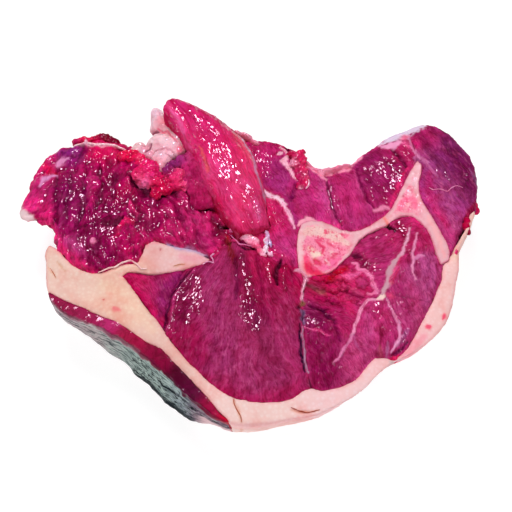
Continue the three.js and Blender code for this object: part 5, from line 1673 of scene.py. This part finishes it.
def sinewStrands():
    spots, edges, girths, hues = [], [], [], []
    for entry in strands:
        curve = smoothPath(entry["path"], 1.2)
        heights = faceHeight(frameOf(deepen(curve))) / mm + entry["lift"]
        first = len(spots)
        spots += [tuple(spot) for spot in frameOf(np.column_stack([wandering(curve, 0.5, 4.0), heights]))]
        edges += [(i, i + 1) for i in range(first, len(spots) - 1)]
        taper = np.sin(np.pi * np.linspace(0.08, 0.92, len(curve))) ** 0.5
        girths += list(entry["girth"] * taper * mm)
        hues += [(*toneOf(entry["tone"]), 1)] * len(curve)
    mesh = bpy.data.meshes.new("strandPaths")
    mesh.from_pydata(spots, edges, [])
    mesh.attributes.new("girth", "FLOAT", "POINT").data.foreach_set("value", girths)
    mesh.attributes.new("hue", "FLOAT_COLOR", "POINT").data.foreach_set("color", np.array(hues).ravel())
    work = bpy.data.objects.new("strandPaths", mesh)
    bpy.context.scene.collection.objects.link(work)
    modifier = work.modifiers.new("strands", "NODES")
    modifier.node_group = buildStrandTree()
    for socket in modifier.node_group.interface.items_tree:
        if socket.name == "Material":
            modifier[socket.identifier] = sinewSheet
    result = bpy.data.meshes.new_from_object(work.evaluated_get(bpy.context.evaluated_depsgraph_get()))
    bpy.data.objects.remove(work)
    points = positionsOf(result)
    paint = np.zeros(len(points) * 4, np.float32)
    result.attributes["hue"].data.foreach_get("color", paint)
    paint = paint.reshape(-1, 4)[:, :3].astype(float)
    result.attributes.remove(result.attributes["hue"])
    share = smoothStep(-0.2, 0.5, layered(fineNoise, points / mm, 4, 2))[:, None]
    paint += (toneOf("crimson") - paint) * share * 0.22
    return finishPiece("sinewStrands", result, sinewSheet, [], "fat", paint=underLight(paint, 0.92))


sinewStrands()

# the stage: floor, lights and camera; sheen lights show only in the gloss, the others only in the tones
stageLook = {
    "floor": 14.0, "floorTone": 0.35, "floorGlow": 0.8, "room": 0.07, "lightAim": (0, 0, 0.03),
    "distance": 0.8, "elevation": 62, "lens": 85.2, "aim": 50, "lift": 0.02734375,
    "lights": [
        {"name": "backLight", "at": (-0.15, 0.62, 1.15), "size": 0.5, "power": 9.0},
        {"name": "rightLight", "at": (0.75, 0.1, 1.1), "size": 0.35, "power": 3.0},
        {"name": "frontSoft", "at": (0.1, -1.1, 1.0), "size": 1.2, "power": 9.0},
        {"name": "leftSoft", "at": (-1.1, -0.1, 0.9), "size": 0.7, "power": 4.0},
        {"name": "backSheen", "at": (-0.14, 0.58, 1.08), "size": 0.5, "power": 14.0, "sheen": (1, 0.7, 0.9)},
        {"name": "rightSheen", "at": (0.7, 0.09, 1.03), "size": 0.35, "power": 4.0, "sheen": (1, 0.7, 0.9)},
    ],
}


def buildStage():
    half = stageLook["floor"] / 2
    mesh = bpy.data.meshes.new("floor")
    corners = [(-half, -half, 0), (half, -half, 0), (half, half, 0), (-half, half, 0)]
    mesh.from_pydata(corners, [], [(0, 1, 2, 3)])
    floor = bpy.data.objects.new("floor", mesh)
    bpy.context.scene.collection.objects.link(floor)
    material, _, shader = newMaterial("paleFloor")
    setSockets(shader, Base_Color=(stageLook["floorTone"],) * 3 + (1,), Roughness=0.9, Specular_IOR_Level=0.1,
               Emission_Color=(1, 1, 1, 1), Emission_Strength=stageLook["floorGlow"])
    mesh.materials.append(material)
    for settings in stageLook["lights"]:
        data = bpy.data.lights.new(settings["name"], "AREA")
        data.size = settings["size"]
        data.energy = settings["power"]
        light = bpy.data.objects.new(settings["name"], data)
        light.location = settings["at"]
        data.color = settings.get("sheen", (1, 1, 1))
        light.visible_glossy, light.visible_diffuse = "sheen" in settings, "sheen" not in settings
        away = Vector(stageLook["lightAim"]) - light.location
        light.rotation_euler = away.to_track_quat("-Z", "Y").to_euler()
        bpy.context.scene.collection.objects.link(light)
    world = bpy.data.worlds.new("softRoom")
    world.use_nodes = True
    world.node_tree.nodes["Background"].inputs["Color"].default_value = (1, 1, 1, 1)
    world.node_tree.nodes["Background"].inputs["Strength"].default_value = stageLook["room"]
    bpy.context.scene.world = world
    bpy.context.scene.view_settings.view_transform = "Standard"


def buildCamera():
    data = bpy.data.cameras.new("camera")
    data.lens = stageLook["lens"]
    data.shift_y = stageLook["lift"]
    camera = bpy.data.objects.new("camera", data)
    tilt = math.radians(stageLook["elevation"])
    target = Vector((planZero[0], planZero[1], stageLook["aim"] * mm))
    camera.location = target + Vector((0, -math.cos(tilt), math.sin(tilt))) * stageLook["distance"]
    camera.rotation_euler = (target - camera.location).to_track_quat("-Z", "Y").to_euler()
    bpy.context.scene.collection.objects.link(camera)
    bpy.context.scene.camera = camera


buildStage()
buildCamera()
